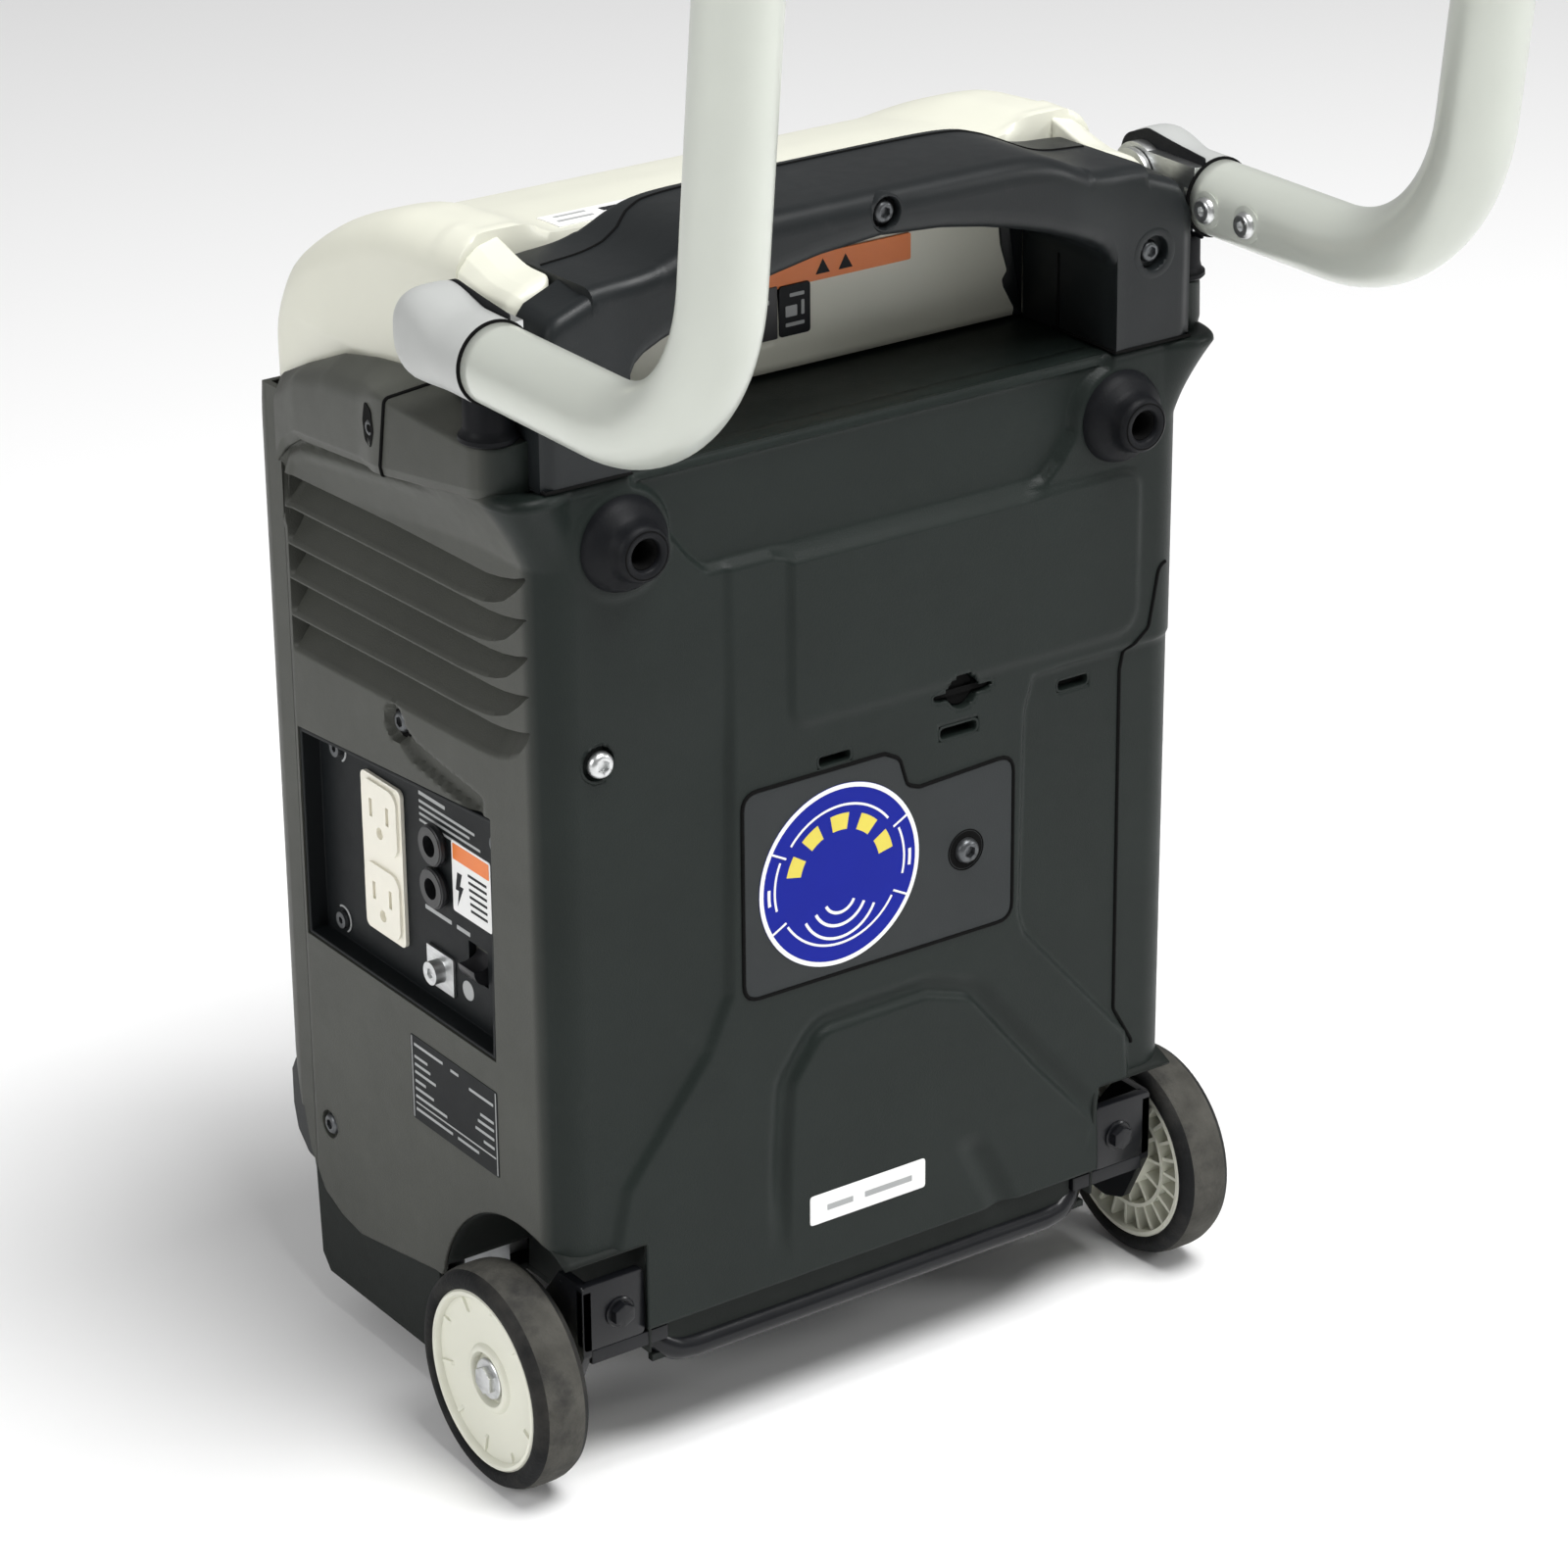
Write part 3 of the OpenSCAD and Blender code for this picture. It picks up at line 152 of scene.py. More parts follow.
M = {
    # the case's side walls get a painted sheen: a paler colour in place of the light they catch
    "case": material("case_plastic", (0.0105, 0.0150, 0.0132), 0.44, vary=0.10, grain=1500, bump=0.35,
                     depth=0.0003,
                     spec=0.18, dust=(0.024, 0.030, 0.027), dust_scale=14, dust_from=0.62, dust_to=0.95,
                     painted_side_sheen=(0.062, 0.064, 0.056)),
    "base": material("base_plastic", (0.012, 0.0145, 0.013), 0.6, grain=1300, bump=0.35, spec=0.15),
    "cream": material("cream_plastic", (0.70, 0.70, 0.60), 0.38, vary=0.035, mottle=9, grain=1200, bump=0.10,
                      coat=0.08, dust=(0.62, 0.59, 0.50), dust_scale=22, dust_from=0.66, dust_to=0.95),
    "handle": material("handle_black", (0.0085, 0.0105, 0.0115), 0.42, vary=0.12, grain=1400, bump=0.25,
                       spec=0.3,
                       dust=(0.03, 0.031, 0.032), dust_scale=24, dust_from=0.6, dust_to=0.9),
    "silver": material("silver_paint", (0.56, 0.585, 0.53), 0.34, vary=0.03, mottle=7, grain=2200, bump=0.06,
                       metal=0.25, coat=0.25, dust=(0.47, 0.47, 0.43), dust_scale=30, dust_from=0.7,
                       dust_to=0.95),
    "collar": material("collar_grey", (0.42, 0.43, 0.42), 0.45, vary=0.03, grain=1600, bump=0.15),
    "black_paint": material("black_paint", (0.0065, 0.007, 0.0085), 0.30, vary=0.15, grain=700, bump=0.12,
                            coat=0.12,
                            spec=0.22),
    "zinc": material("zinc_steel", (0.62, 0.63, 0.63), 0.33, vary=0.12, mottle=160, grain=1800, bump=0.15,
                     metal=1.0, streak=(1, 1, 3)),
    "dark_steel": material("dark_steel", (0.10, 0.105, 0.11), 0.36, vary=0.2, mottle=140, grain=1700,
                           bump=0.15,
                           metal=0.8),
    "rubber": material("black_rubber", (0.006, 0.0065, 0.008), 0.5, vary=0.12, grain=1100, bump=0.3,
                       spec=0.13, dust=(0.012, 0.012, 0.013), dust_scale=60),
    "tyre": material("tyre_rubber", (0.010, 0.0105, 0.011), 0.66, vary=0.2, mottle=45, grain=700, bump=0.55,
                     depth=0.0005, spec=0.12, dust=(0.042, 0.040, 0.036), dust_scale=28, dust_from=0.45,
                     dust_to=0.78),
    "tread": material("tyre_tread", (0.068, 0.066, 0.058), 0.85, vary=0.3, mottle=60, grain=600, bump=0.7,
                      depth=0.0007, spec=0.2, dust=(0.022, 0.022, 0.022), dust_scale=40, dust_from=0.5,
                      dust_to=0.75),
    "panel": material("panel_black", (0.008, 0.0095, 0.0105), 0.5, grain=1600, bump=0.2, spec=0.15),
    "door": material("door_plastic", (0.024, 0.0275, 0.0285), 0.47, grain=1500, bump=0.3,
                     spec=0.2, dust=(0.04, 0.042, 0.042), dust_scale=20, dust_from=0.62, dust_to=0.95),
    "ivory": material("outlet_ivory", (0.86, 0.83, 0.72), 0.32, vary=0.02, grain=900, bump=0.05, coat=0.2),
    "switch": material("switch_black", (0.014, 0.014, 0.016), 0.35, grain=1200, bump=0.15),
    "cast": material("cast_alloy", (0.52, 0.53, 0.54), 0.5, vary=0.12, mottle=60, grain=900, bump=0.6,
                     metal=0.85),
    "copper": material("copper_coils", (0.50, 0.20, 0.07), 0.32, vary=0.2, mottle=80, grain=2000, bump=0.6,
                       metal=0.9, streak=(1, 1, 9)),
    "hot": material("hot_steel", (0.20, 0.15, 0.12), 0.55, vary=0.35, mottle=40, grain=600, bump=0.5,
                    metal=0.8,
                    dust=(0.16, 0.07, 0.035), dust_scale=50),
    "engine": material("engine_black", (0.022, 0.023, 0.025), 0.5, grain=1000, bump=0.4),
    "can": material("can_paint", (0.55, 0.10, 0.045), 0.28, vary=0.05, grain=800, bump=0.06, metal=0.2,
                    coat=0.4),
    "lever": material("lever_orange", (0.72, 0.22, 0.02), 0.42, grain=1200, bump=0.15),
    "ceramic": material("white_ceramic", (0.86, 0.86, 0.83), 0.18, vary=0.02, grain=600, bump=0.03, coat=0.6),
    "rope": material("rope_fibre", (0.72, 0.68, 0.56), 0.85, vary=0.15, mottle=300, grain=1200, bump=1.0,
                     depth=0.0006, streak=(4, 1, 4)),
    "yellow": material("cap_yellow", (0.72, 0.52, 0.04), 0.4, grain=1200, bump=0.15),
    "red": material("switch_red", (0.55, 0.03, 0.02), 0.36, grain=1200, bump=0.12),
    "gap": material("gap_shadow", (0.004, 0.004, 0.004), 0.9, grain=400, bump=0.1, spec=0.1),
    "blue": material("print_blue", (0.004, 0.012, 0.27), 0.38, vary=0.05, grain=900, bump=0.04, spec=0.12),
    "white": material("print_white", (0.83, 0.83, 0.82), 0.34, vary=0.025, grain=900, bump=0.04),
    "gold": material("print_yellow", (0.72, 0.60, 0.07), 0.34, vary=0.05, grain=900, bump=0.04),
    "orange": material("print_orange", (0.83, 0.20, 0.025), 0.34, vary=0.05, grain=900, bump=0.04),
    "ink": material("print_dark", (0.010, 0.011, 0.013), 0.42, vary=0.06, grain=900, bump=0.04, spec=0.15),
    "tint": material("print_grey", (0.36, 0.37, 0.37), 0.4, vary=0.06, grain=900, bump=0.04),
}


# ---------------------------------------------------------------- mesh tools

def add(name, verts, faces, look, body="body", sharp=38.0, replaces=()):
    """A mesh piece from millimetre points. It rides on a body and may stand for CAD nodes."""
    me = bpy.data.meshes.new(name)
    pts = np.array(verts, float).reshape(-1, 3)
    me.from_pydata(row(pts).tolist(), [], [list(map(int, f)) for f in faces])
    bm = bmesh.new()
    bm.from_mesh(me)
    bmesh.ops.remove_doubles(bm, verts=bm.verts, dist=1e-6)
    bmesh.ops.dissolve_degenerate(bm, edges=bm.edges, dist=1e-6)
    bmesh.ops.recalc_face_normals(bm, faces=bm.faces)
    bm.to_mesh(me)
    bm.free()
    me.materials.append(M[look])
    me.shade_smooth()
    me.set_sharp_from_angle(angle=math.radians(sharp))
    o = bpy.data.objects.new(name, me)
    bpy.context.scene.collection.objects.link(o)
    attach(o, body)
    if replaces:
        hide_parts(*replaces)
    return o


def quads(n, m, wrap_u=False, wrap_v=False, flip=False):
    i = np.arange(n if wrap_u else n - 1)
    j = np.arange(m if wrap_v else m - 1)
    i, j = np.meshgrid(i, j, indexing="ij")
    a, b = i * m + j, ((i + 1) % n) * m + j
    c, d = ((i + 1) % n) * m + (j + 1) % m, i * m + (j + 1) % m
    order = (a, d, c, b) if flip else (a, b, c, d)
    return np.stack(order, -1).reshape(-1, 4)


AXES = {"x": ((1, 0, 0), (0, 1, 0), (0, 0, 1)), "-x": ((-1, 0, 0), (0, 1, 0), (0, 0, 1)),
        "y": ((0, 1, 0), (1, 0, 0), (0, 0, 1)), "-y": ((0, -1, 0), (1, 0, 0), (0, 0, 1)),
        "z": ((0, 0, 1), (1, 0, 0), (0, 1, 0))}


def lathe_points(profile, origin, axis, seg=48, flat=0):
    """Rings round an axis from (radius, height) pairs. flat makes them polygons with that many sides."""
    d, u, v = (np.array(a, float) for a in AXES[axis])
    ang = np.linspace(0, 2 * np.pi, seg, endpoint=False)
    k = np.ones(seg)
    if flat:
        k = math.cos(math.pi / flat) / np.cos((ang + math.pi / flat) % (2 * math.pi / flat) - math.pi / flat)
    ring = np.cos(ang)[:, None] * u + np.sin(ang)[:, None] * v
    return np.array([np.array(origin) + d * h + ring * (r * k)[:, None] for r, h in profile])


def lathe_part(profile, origin, axis, seg=48, flat=0):
    rings = lathe_points(profile, origin, axis, seg, flat)
    return rings.reshape(-1, 3), quads(len(profile), seg, wrap_v=True).tolist()


def lathe(name, profile, origin, axis, look, body="body", seg=48, **kw):
    return add(name, *lathe_part(profile, origin, axis, seg), look, body, **kw)


def x_axis(side):
    """The axis that points out of the case on one side."""
    return "x" if side > 0 else "-x"


def join(name, parts, look, body="body", **kw):
    """One piece from several (points, faces) lists."""
    verts, faces, base = [], [], 0
    for p, f in parts:
        p = np.array(p, float).reshape(-1, 3)
        verts.append(p)
        faces += [[int(k) + base for k in q] for q in f]
        base += len(p)
    return add(name, np.vstack(verts), faces, look, body, **kw)


def tube_points(path, radius, seg=16, closed=False):
    """Rings along a path, carried without twist."""
    p = np.array(path, float)
    t = np.gradient(p, axis=0) if not closed else np.roll(p, -1, 0) - np.roll(p, 1, 0)
    t /= np.linalg.norm(t, axis=1)[:, None]
    ref = np.array([0, 0, 1.0]) if abs(t[0][2]) < 0.9 else np.array([1.0, 0, 0])
    u = np.cross(t[0], ref)
    u /= np.linalg.norm(u)
    radius = np.broadcast_to(radius, len(p))
    ang = np.linspace(0, 2 * np.pi, seg, endpoint=False)
    rings = []
    for k in range(len(p)):
        u = u - t[k] * (u @ t[k])
        u /= np.linalg.norm(u)
        v = np.cross(t[k], u)
        rings.append(p[k] + radius[k] * (np.cos(ang)[:, None] * u + np.sin(ang)[:, None] * v))
    return np.array(rings)


def tube_part(path, radius, seg=16, closed=False):
    rings = tube_points(path, radius, seg, closed)
    faces = quads(len(rings), seg, wrap_u=closed, wrap_v=True).tolist()
    if not closed:
        last = (len(rings) - 1) * seg
        faces += [list(range(seg))[::-1], list(range(last, last + seg))]
    return rings.reshape(-1, 3), faces


def bevelled(o, width):
    b = o.modifiers.new("edge", "BEVEL")
    b.width, b.segments = width * MM, 2
    b.limit_method, b.angle_limit = "ANGLE", math.radians(40)
    b.harden_normals = False


def walled(o, thickness, offset=-1):
    wall = o.modifiers.new("wall", "SOLIDIFY")
    wall.thickness, wall.offset = thickness * MM, offset


def place(outline, plane, depth):
    """2-D outline points onto a plane: 'y' takes (x, z), 'x' takes (y, z), 'z' takes (x, y)."""
    q = np.array(outline, float)
    k = np.full(len(q), float(depth))
    if plane == "y":
        return np.stack([q[:, 0], k, q[:, 1]], 1)
    if plane == "x":
        return np.stack([k, q[:, 0], q[:, 1]], 1)
    return np.stack([q[:, 0], q[:, 1], k], 1)


def plate_part(outline, plane, low, high, edge=0.0):
    """A flat plate between two depths, with its upper edge eased."""
    q = np.array(outline, float)
    loops = [place(q, plane, low)]
    if edge:
        sign = 1 if high > low else -1
        loops += [place(q, plane, high - sign * edge),
                  place(grow(q, -edge * 0.35), plane, high - sign * edge * 0.3),
                  place(grow(q, -edge), plane, high)]
    else:
        loops += [place(q, plane, high)]
    n = len(q)
    faces = quads(len(loops), n, wrap_v=True).tolist()
    faces += [list(range(n))[::-1], list(range((len(loops) - 1) * n, len(loops) * n))]
    return np.vstack(loops), faces


def plate(name, outline, plane, low, high, look, body="body", edge=0.0, **kw):
    v, f = plate_part(outline, plane, low, high, edge)
    return add(name, v, f, look, body, **kw)


def grow(q, d):
    """A closed outline moved outward by d."""
    q = np.array(q, float)
    a, b = q - np.roll(q, 1, 0), np.roll(q, -1, 0) - q
    a /= np.linalg.norm(a, axis=1)[:, None] + 1e-12
    b /= np.linalg.norm(b, axis=1)[:, None] + 1e-12
    area = np.sum(q[:, 0] * np.roll(q[:, 1], -1) - q[:, 1] * np.roll(q[:, 0], -1))
    s = 1 if area > 0 else -1
    n = np.stack([a[:, 1] + b[:, 1], -a[:, 0] - b[:, 0]], 1)
    k = np.sum(n * n, 1)
    return q + s * d * 2 * n / np.maximum(k, 0.8)[:, None]


def rounded(pts, r, seg=6):
    """A closed outline with its corners rounded. r is one radius or one for each corner."""
    q = np.array(pts, float)
    r = np.broadcast_to(r, len(q))
    out = []
    for i in range(len(q)):
        a, b, c = q[i - 1], q[i], q[(i + 1) % len(q)]
        da, dc = a - b, c - b
        la, lc = np.linalg.norm(da), np.linalg.norm(dc)
        da, dc = da / la, dc / lc
        half = math.acos(np.clip(da @ dc, -1, 1)) / 2
        if half > math.radians(89) or r[i] < 1e-3:
            out.append(b)
            continue
        cut = min(r[i] / math.tan(half), 0.49 * la, 0.49 * lc)
        p0, p1 = b + da * cut, b + dc * cut
        for t in np.linspace(0, 1, seg + 1):
            out.append((1 - t) ** 2 * p0 + 2 * t * (1 - t) * b + t * t * p1)
    return np.array(out)


def circle(cx, cy, r, n=40):
    a = np.linspace(0, 2 * np.pi, n, endpoint=False)
    return np.stack([cx + r * np.cos(a), cy + r * np.sin(a)], 1)


def pill(cx, cy, w, h, n=6):
    return rounded([(cx - w / 2, cy - h / 2), (cx + w / 2, cy - h / 2), (cx + w / 2, cy + h / 2),
                    (cx - w / 2, cy + h / 2)],
                   min(w, h) / 2 * 0.9, n)


def box_outline(x0, y0, x1, y1, r=1.0, seg=4):
    return rounded([(x0, y0), (x1, y0), (x1, y1), (x0, y1)], r, seg)


def pit_part(outline, plane, level, depth, flange=2.0, lift=0.10, sign=1, floor=True, lip=0.5):
    """A moulded hollow: a rim that lies on the surface, a rounded lip, walls and a floor."""
    q = np.array(outline, float)
    steps = [(flange, -0.35), (flange * 0.8, lift * 0.6), (lip, lift), (lip * 0.3, -0.05), (0, -lip * 1.2),
             (-0.15, -depth)]
    loops = [place(grow(q, g) if g else q, plane, level + sign * h) for g, h in steps]
    n = len(q)
    faces = quads(len(loops), n, wrap_v=True).tolist()
    if floor:
        faces.append(list(range((len(loops) - 1) * n, len(loops) * n)))
    return np.vstack(loops), faces


def smooth(a, b, x):
    t = np.clip((x - a) / (b - a), 0, 1)
    return t * t * (3 - 2 * t)


def path_distance(u, v, pts, closed=False):
    pts = np.array(pts, float)
    if closed:
        pts = np.vstack([pts, pts[:1]])
    best = np.full(np.shape(u), 1e9)
    for (x0, y0), (x1, y1) in zip(pts[:-1], pts[1:]):
        dx, dy = x1 - x0, y1 - y0
        t = np.clip(((u - x0) * dx + (v - y0) * dy) / (dx * dx + dy * dy), 0, 1)
        best = np.minimum(best, np.hypot(u - x0 - t * dx, v - y0 - t * dy))
    return best


def signed(u, v, pts):
    """Distance to a closed outline, positive inside."""
    q = np.array(pts, float)
    ins = np.zeros(np.shape(u), bool)
    for (x0, y0), (x1, y1) in zip(q, np.roll(q, -1, 0)):
        if y0 == y1:
            continue
        hit = ((y0 > v) != (y1 > v)) & (u < (x1 - x0) * (v - y0) / (y1 - y0) + x0)
        ins ^= hit
    return np.where(ins, 1, -1) * path_distance(u, v, q, True)


# ---------------------------------------------------------------- rear shell and side cover

HALF_W, CORNER, FRONT = 155.0, 16.0, -194.0
FLAT = HALF_W - CORNER
ARC = CORNER * math.pi / 2
SIDE_0 = FLAT + ARC                       # the perimeter distance where a side wall starts
SIDE_1 = SIDE_0 - CORNER - FRONT
UNROLL = SIDE_0 - CORNER                  # a side wall's y is UNROLL minus the perimeter distance
AXLE_Y, AXLE_Z, ARCH_R = -30.0, 47.0, 64.0
BUMPER_X, BUMPER_Z = 119.0, 403.6
PANEL_R, PANEL_L, PANEL_DEPTH = -44.0, -192.0, 12.6
RECESS_LOW, RECESS_HIGH = 178, 284

LEFT_FIELD = [(72, 432), (71, 318), (72.7, 201.7), (84, 178), (123, 129.6), (131, 94), (131, 40), (190, 40),
              (190, 432)]
RIGHT_FIELD = [(-139, 301.5), (-94.7, 301.5), (-77.5, 300.5), (-73.2, 286.5), (-71.6, 196.8), (-74.7, 187),
               (-129.6, 124.3), (-132, 100), (-132, 40), (-190, 40), (-190, 301.5)]
TOP_FIELD = [(112, 434), (111, 424), (98, 408), (86, 392), (80, 386.5), (72, 384.7), (-72, 384.7),
             (-80, 386.5),
             (-86, 392), (-98, 408), (-111, 424), (-112, 434)]
NAME_PAD = rounded([(44, 308), (44, 381), (-131, 381), (-131, 308)], (10, 5, 12, 14))
ARCH_PAD = rounded([(46, 84), (45.6, 121), (43.3, 153), (29, 172.5), (-24, 173.5), (-46, 166), (-81, 123),
                    (-112, 88),
                    (-100, 50), (40, 50)], (4, 10, 14, 12, 14, 14, 20, 10, 4, 4))
SIDE_GROOVE = [(-195, 366), (-194, 383), (-188, 394), (-176, 400), (-150, 404), (-96, 411.5), (-60, 416)]
SCREW_GROOVE = [(-113, 300.5), (-99, 293), (-75, 289.5), (-50, 287)]


def arch_z(y):
    return AXLE_Z + np.sqrt(np.maximum(ARCH_R ** 2 - (y - AXLE_Y) ** 2, 0))


def low_z(s):
    """Height of the shells' lower edge along the perimeter."""
    a = np.abs(s)
    y = np.where(a < FLAT, 0, np.where(a < SIDE_0, -CORNER + CORNER * np.cos((a - FLAT) / CORNER), UNROLL
                                       - a))
    skirt = np.interp(y, [-203, -199, -188, -174, -159, -98.01, -98], [92, 74, 58, 52, 49.5, 60, 60])
    arch = np.where(np.abs(y - AXLE_Y) < ARCH_R, arch_z(y), 0)
    return np.where(a < 115, 64.0, np.maximum(np.where(y < -92, skirt, 60), arch))


def top_z(s):
    y = UNROLL - np.abs(s)
    return np.interp(y, [-194, -174, -158], [417.2, 423.0, 430.0]) - 4.0


LOUVRE_DEPTH = 11.5
LOUVRE_Y = [-192, -108, -40, -30, -20, -12.7]
LOUVRE_TOP = [[383.0, 386.5, 387.8, 389.2, 391.4, 394.0], [368.4, 371.2, 372.9, 373.8, 375.4, 377.3],
              [352.1, 354.9, 357.1, 358.1, 360.0, 362.2], [337.2, 339.8, 341.9, 342.7, 344.3, 346.2],
              [320.9, 324.2, 326.2, 327.2, 329.0, 331.0]]
LIP_Y = [-192, -108, -60, -45, -36, -28, -20, -15, -12.7, -4, 30]
LIP_RISE = [0.8, 0.8, 0.9, 2.2, 3.8, 6.0, 10.2, 13.2, 15.2, 8.2, 8.2]   # above the next louvre's upper line
LIP_LAST = [306.3, 309.5, 311.0, 312.0, 313.2, 315.5, 320.0, 325.5, 329.8, 322, 322]


def louvre_lines(y):
    tops = [np.interp(y, LOUVRE_Y, t) for t in LOUVRE_TOP]
    lips = []
    for i in range(5):
        if i < 4:
            lips.append(np.minimum(tops[i + 1] + np.interp(y, LIP_Y, LIP_RISE), tops[i] - 1.0))
        else:
            lips.append(np.minimum(np.interp(y, LIP_Y, LIP_LAST), tops[i] - 1.0))
    return tops, lips


def row_heights(s):
    """Grid heights of one column, in bands for the louvres and the panel recess."""
    y = UNROLL - abs(s)
    if s < FLAT:
        y = 30.0
    tops, lips = louvre_lines(y)
    recess_top = float(np.interp(y, [PANEL_L, PANEL_R], [272, 284.3]))
    stops = [(46.0, 110), (178.0, 1), (178.3, 90), (recess_top - 0.3, 1), (recess_top, 22)]
    for i in (4, 3, 2, 1, 0):
        stops += [(float(lips[i]), 9), (float(tops[i]) - 0.25, 1), (float(tops[i]), 6 if i else 30)]
    z = []
    for (a, n), (b, _) in zip(stops, stops[1:] + [(426.0, 0)]):
        z += list(np.linspace(a, b, n, endpoint=False))
    return np.array(z + [426.0])


ROW_STOPS = np.cumsum([110, 1, 90, 1, 22] + [9, 1, 6] * 4 + [9, 1])   # row index where each band starts


def rear_level(x, z):
    """How far the rear face stands out at a point, in millimetres."""
    level = -2.6 * smooth(-2.2, 2.2, signed(x, z, LEFT_FIELD)) * (1 - 0.6 * smooth(300, 345, z))
    level -= 2.6 * smooth(-1.8, 1.8, signed(x, z, RIGHT_FIELD))
    pad = np.clip((signed(x, z, NAME_PAD) + 0.5) / 3.2, 0, 1)
    level = level * (1 - pad) + 1.3 * pad
    arch = signed(x, z, ARCH_PAD)
    level += (-2.3 * smooth(-11, -3, arch) + 2.9 * smooth(-2.2, 1.6, arch)) * smooth(70, 112, z)
    crease = path_distance(x, z, [(-46, 101), (-57, 79), (-66, 60)])
    level -= 2.2 * smooth(9, 0, crease) * smooth(104, 92, z)
    width = np.interp(x, [-131, 40, 50, 80], [7.2, 7.2, 2.8, 2.4])
    top = np.minimum(np.clip((z - 384.7 + width) / width, 0, 1),
                     np.clip((signed(x, z, TOP_FIELD) + 4) / 2.5, 0, 1))
    band = np.clip((z - 384.7 + width) / width, 0, 1) * smooth(84, 72, np.abs(x))
    top = np.maximum(top, band)
    level = level * (1 - top) - 4.6 * top
    for side in (1, -1):
        d = np.hypot(x - side * BUMPER_X, z - BUMPER_Z)
        ring = smooth(24.0, 20.5, d)
        level = level * (1 - ring) + 0.1 * ring
    return level * (1 - smooth(424, 429, z))


def skin(s, z):
    """Points of the shell's outer surface, given perimeter distance and height."""
    a = np.abs(s)
    sign = np.where(s < 0, -1.0, 1.0)
    angle = np.clip((a - FLAT) / CORNER, 0, math.pi / 2)
    y_roll = UNROLL - a
    x = np.where(a < FLAT, a, FLAT + CORNER * np.sin(angle)) * sign
    y = np.where(a < SIDE_0, -CORNER + CORNER * np.cos(angle), y_roll)
    nx, ny = np.sin(angle) * sign, np.cos(angle)
    out = rear_level(np.where(a < FLAT, s, sign * a), z) * (1 - smooth(FLAT, SIDE_0, a))
    # the flare that carries the shoulder block
    reach = np.interp(y_roll, [-194, -190, -46, -16], [1.2, 1.5, 17.3, 17.3]) * (1
            - smooth(0.25, 0.95, 1 - angle / (math.pi / 2)))
    start = np.interp(y_roll, [-190, -46], [380, 397])
    rise = np.clip((z - start) / (427 - start), 0, 1)
    out = out + reach * (0.35 * rise ** 2 + 0.65 * rise) * (a > FLAT)
    side = smooth(SIDE_0 - 6, SIDE_0 + 2, a)
    groove = path_distance(y_roll, z, SIDE_GROOVE)
    out -= side * 1.5 * smooth(2.4, 0.4, groove) * smooth(-40, -90, y_roll)
    out += side * 0.7 * smooth(3.2, 0.6, np.abs(groove - 4.2)) * smooth(-60, -120, y_roll)
    groove = np.hypot(y_roll - SCREW_GROOVE[0][0], z - SCREW_GROOVE[0][1])
    out -= side * (s > 0) * 4.6 * smooth(7.8, 6.6, groove)
    out -= side * (s > 0) * 3.4 * smooth(5.0, 3.0, path_distance(y_roll, z, SCREW_GROOVE)) * smooth(-46,
            -56, y_roll) * smooth(6, 8, groove)
    # plain side: a shallow field with ribs where a hand steadies the case
    plain = side * (s < 0)
    field = signed(y_roll, z, [(-180, 150), (-180, 318), (-36, 318), (-36, 150)])
    out -= plain * 1.5 * smooth(-2.5, 2.5, field)
    for rib in range(5):
        out += plain * 1.3 * smooth(4.2, 1.6, path_distance(y_roll, z,
                                                            [(-150, 196 + rib * 22), (-66, 196 + rib * 22)]))
    return x + nx * out, y + ny * out, nx, ny


SEAM_RIGHT, SEAM_LEFT = UNROLL - PANEL_R, UNROLL - PANEL_L


def perimeter_columns():
    parts = [np.linspace(-SIDE_1, -SIDE_0, 100, endpoint=False),
             np.linspace(-SIDE_0, -FLAT, 18, endpoint=False),
             np.linspace(-FLAT, -115.01, 22, endpoint=False), [-115.01, -114.99],
             np.linspace(-114, 114, 208), [114.99, 115.01], np.linspace(116, FLAT, 21, endpoint=False),
             np.linspace(FLAT, SIDE_0, 24, endpoint=False),
             np.linspace(SIDE_0, SEAM_RIGHT - 0.15, 26, endpoint=False),
             [SEAM_RIGHT - 0.15, SEAM_RIGHT + 0.15], np.linspace(SEAM_RIGHT + 1.2, SEAM_LEFT - 1.2, 122),
             [SEAM_LEFT - 0.15, SEAM_LEFT + 0.15], [SIDE_1]]
    return np.concatenate(parts)


BIG_HOLES = [(-41, 304, 7.4), (131, 316, 7.0)]
SLOT_HOLES = [(22, 291, 15, 4.4), (-39, 287.6, 18, 4.4), (-99, 292.6, 15, 4.4)]
SIDE_HOLES = [(-181.5, 92.2, 6.2)]


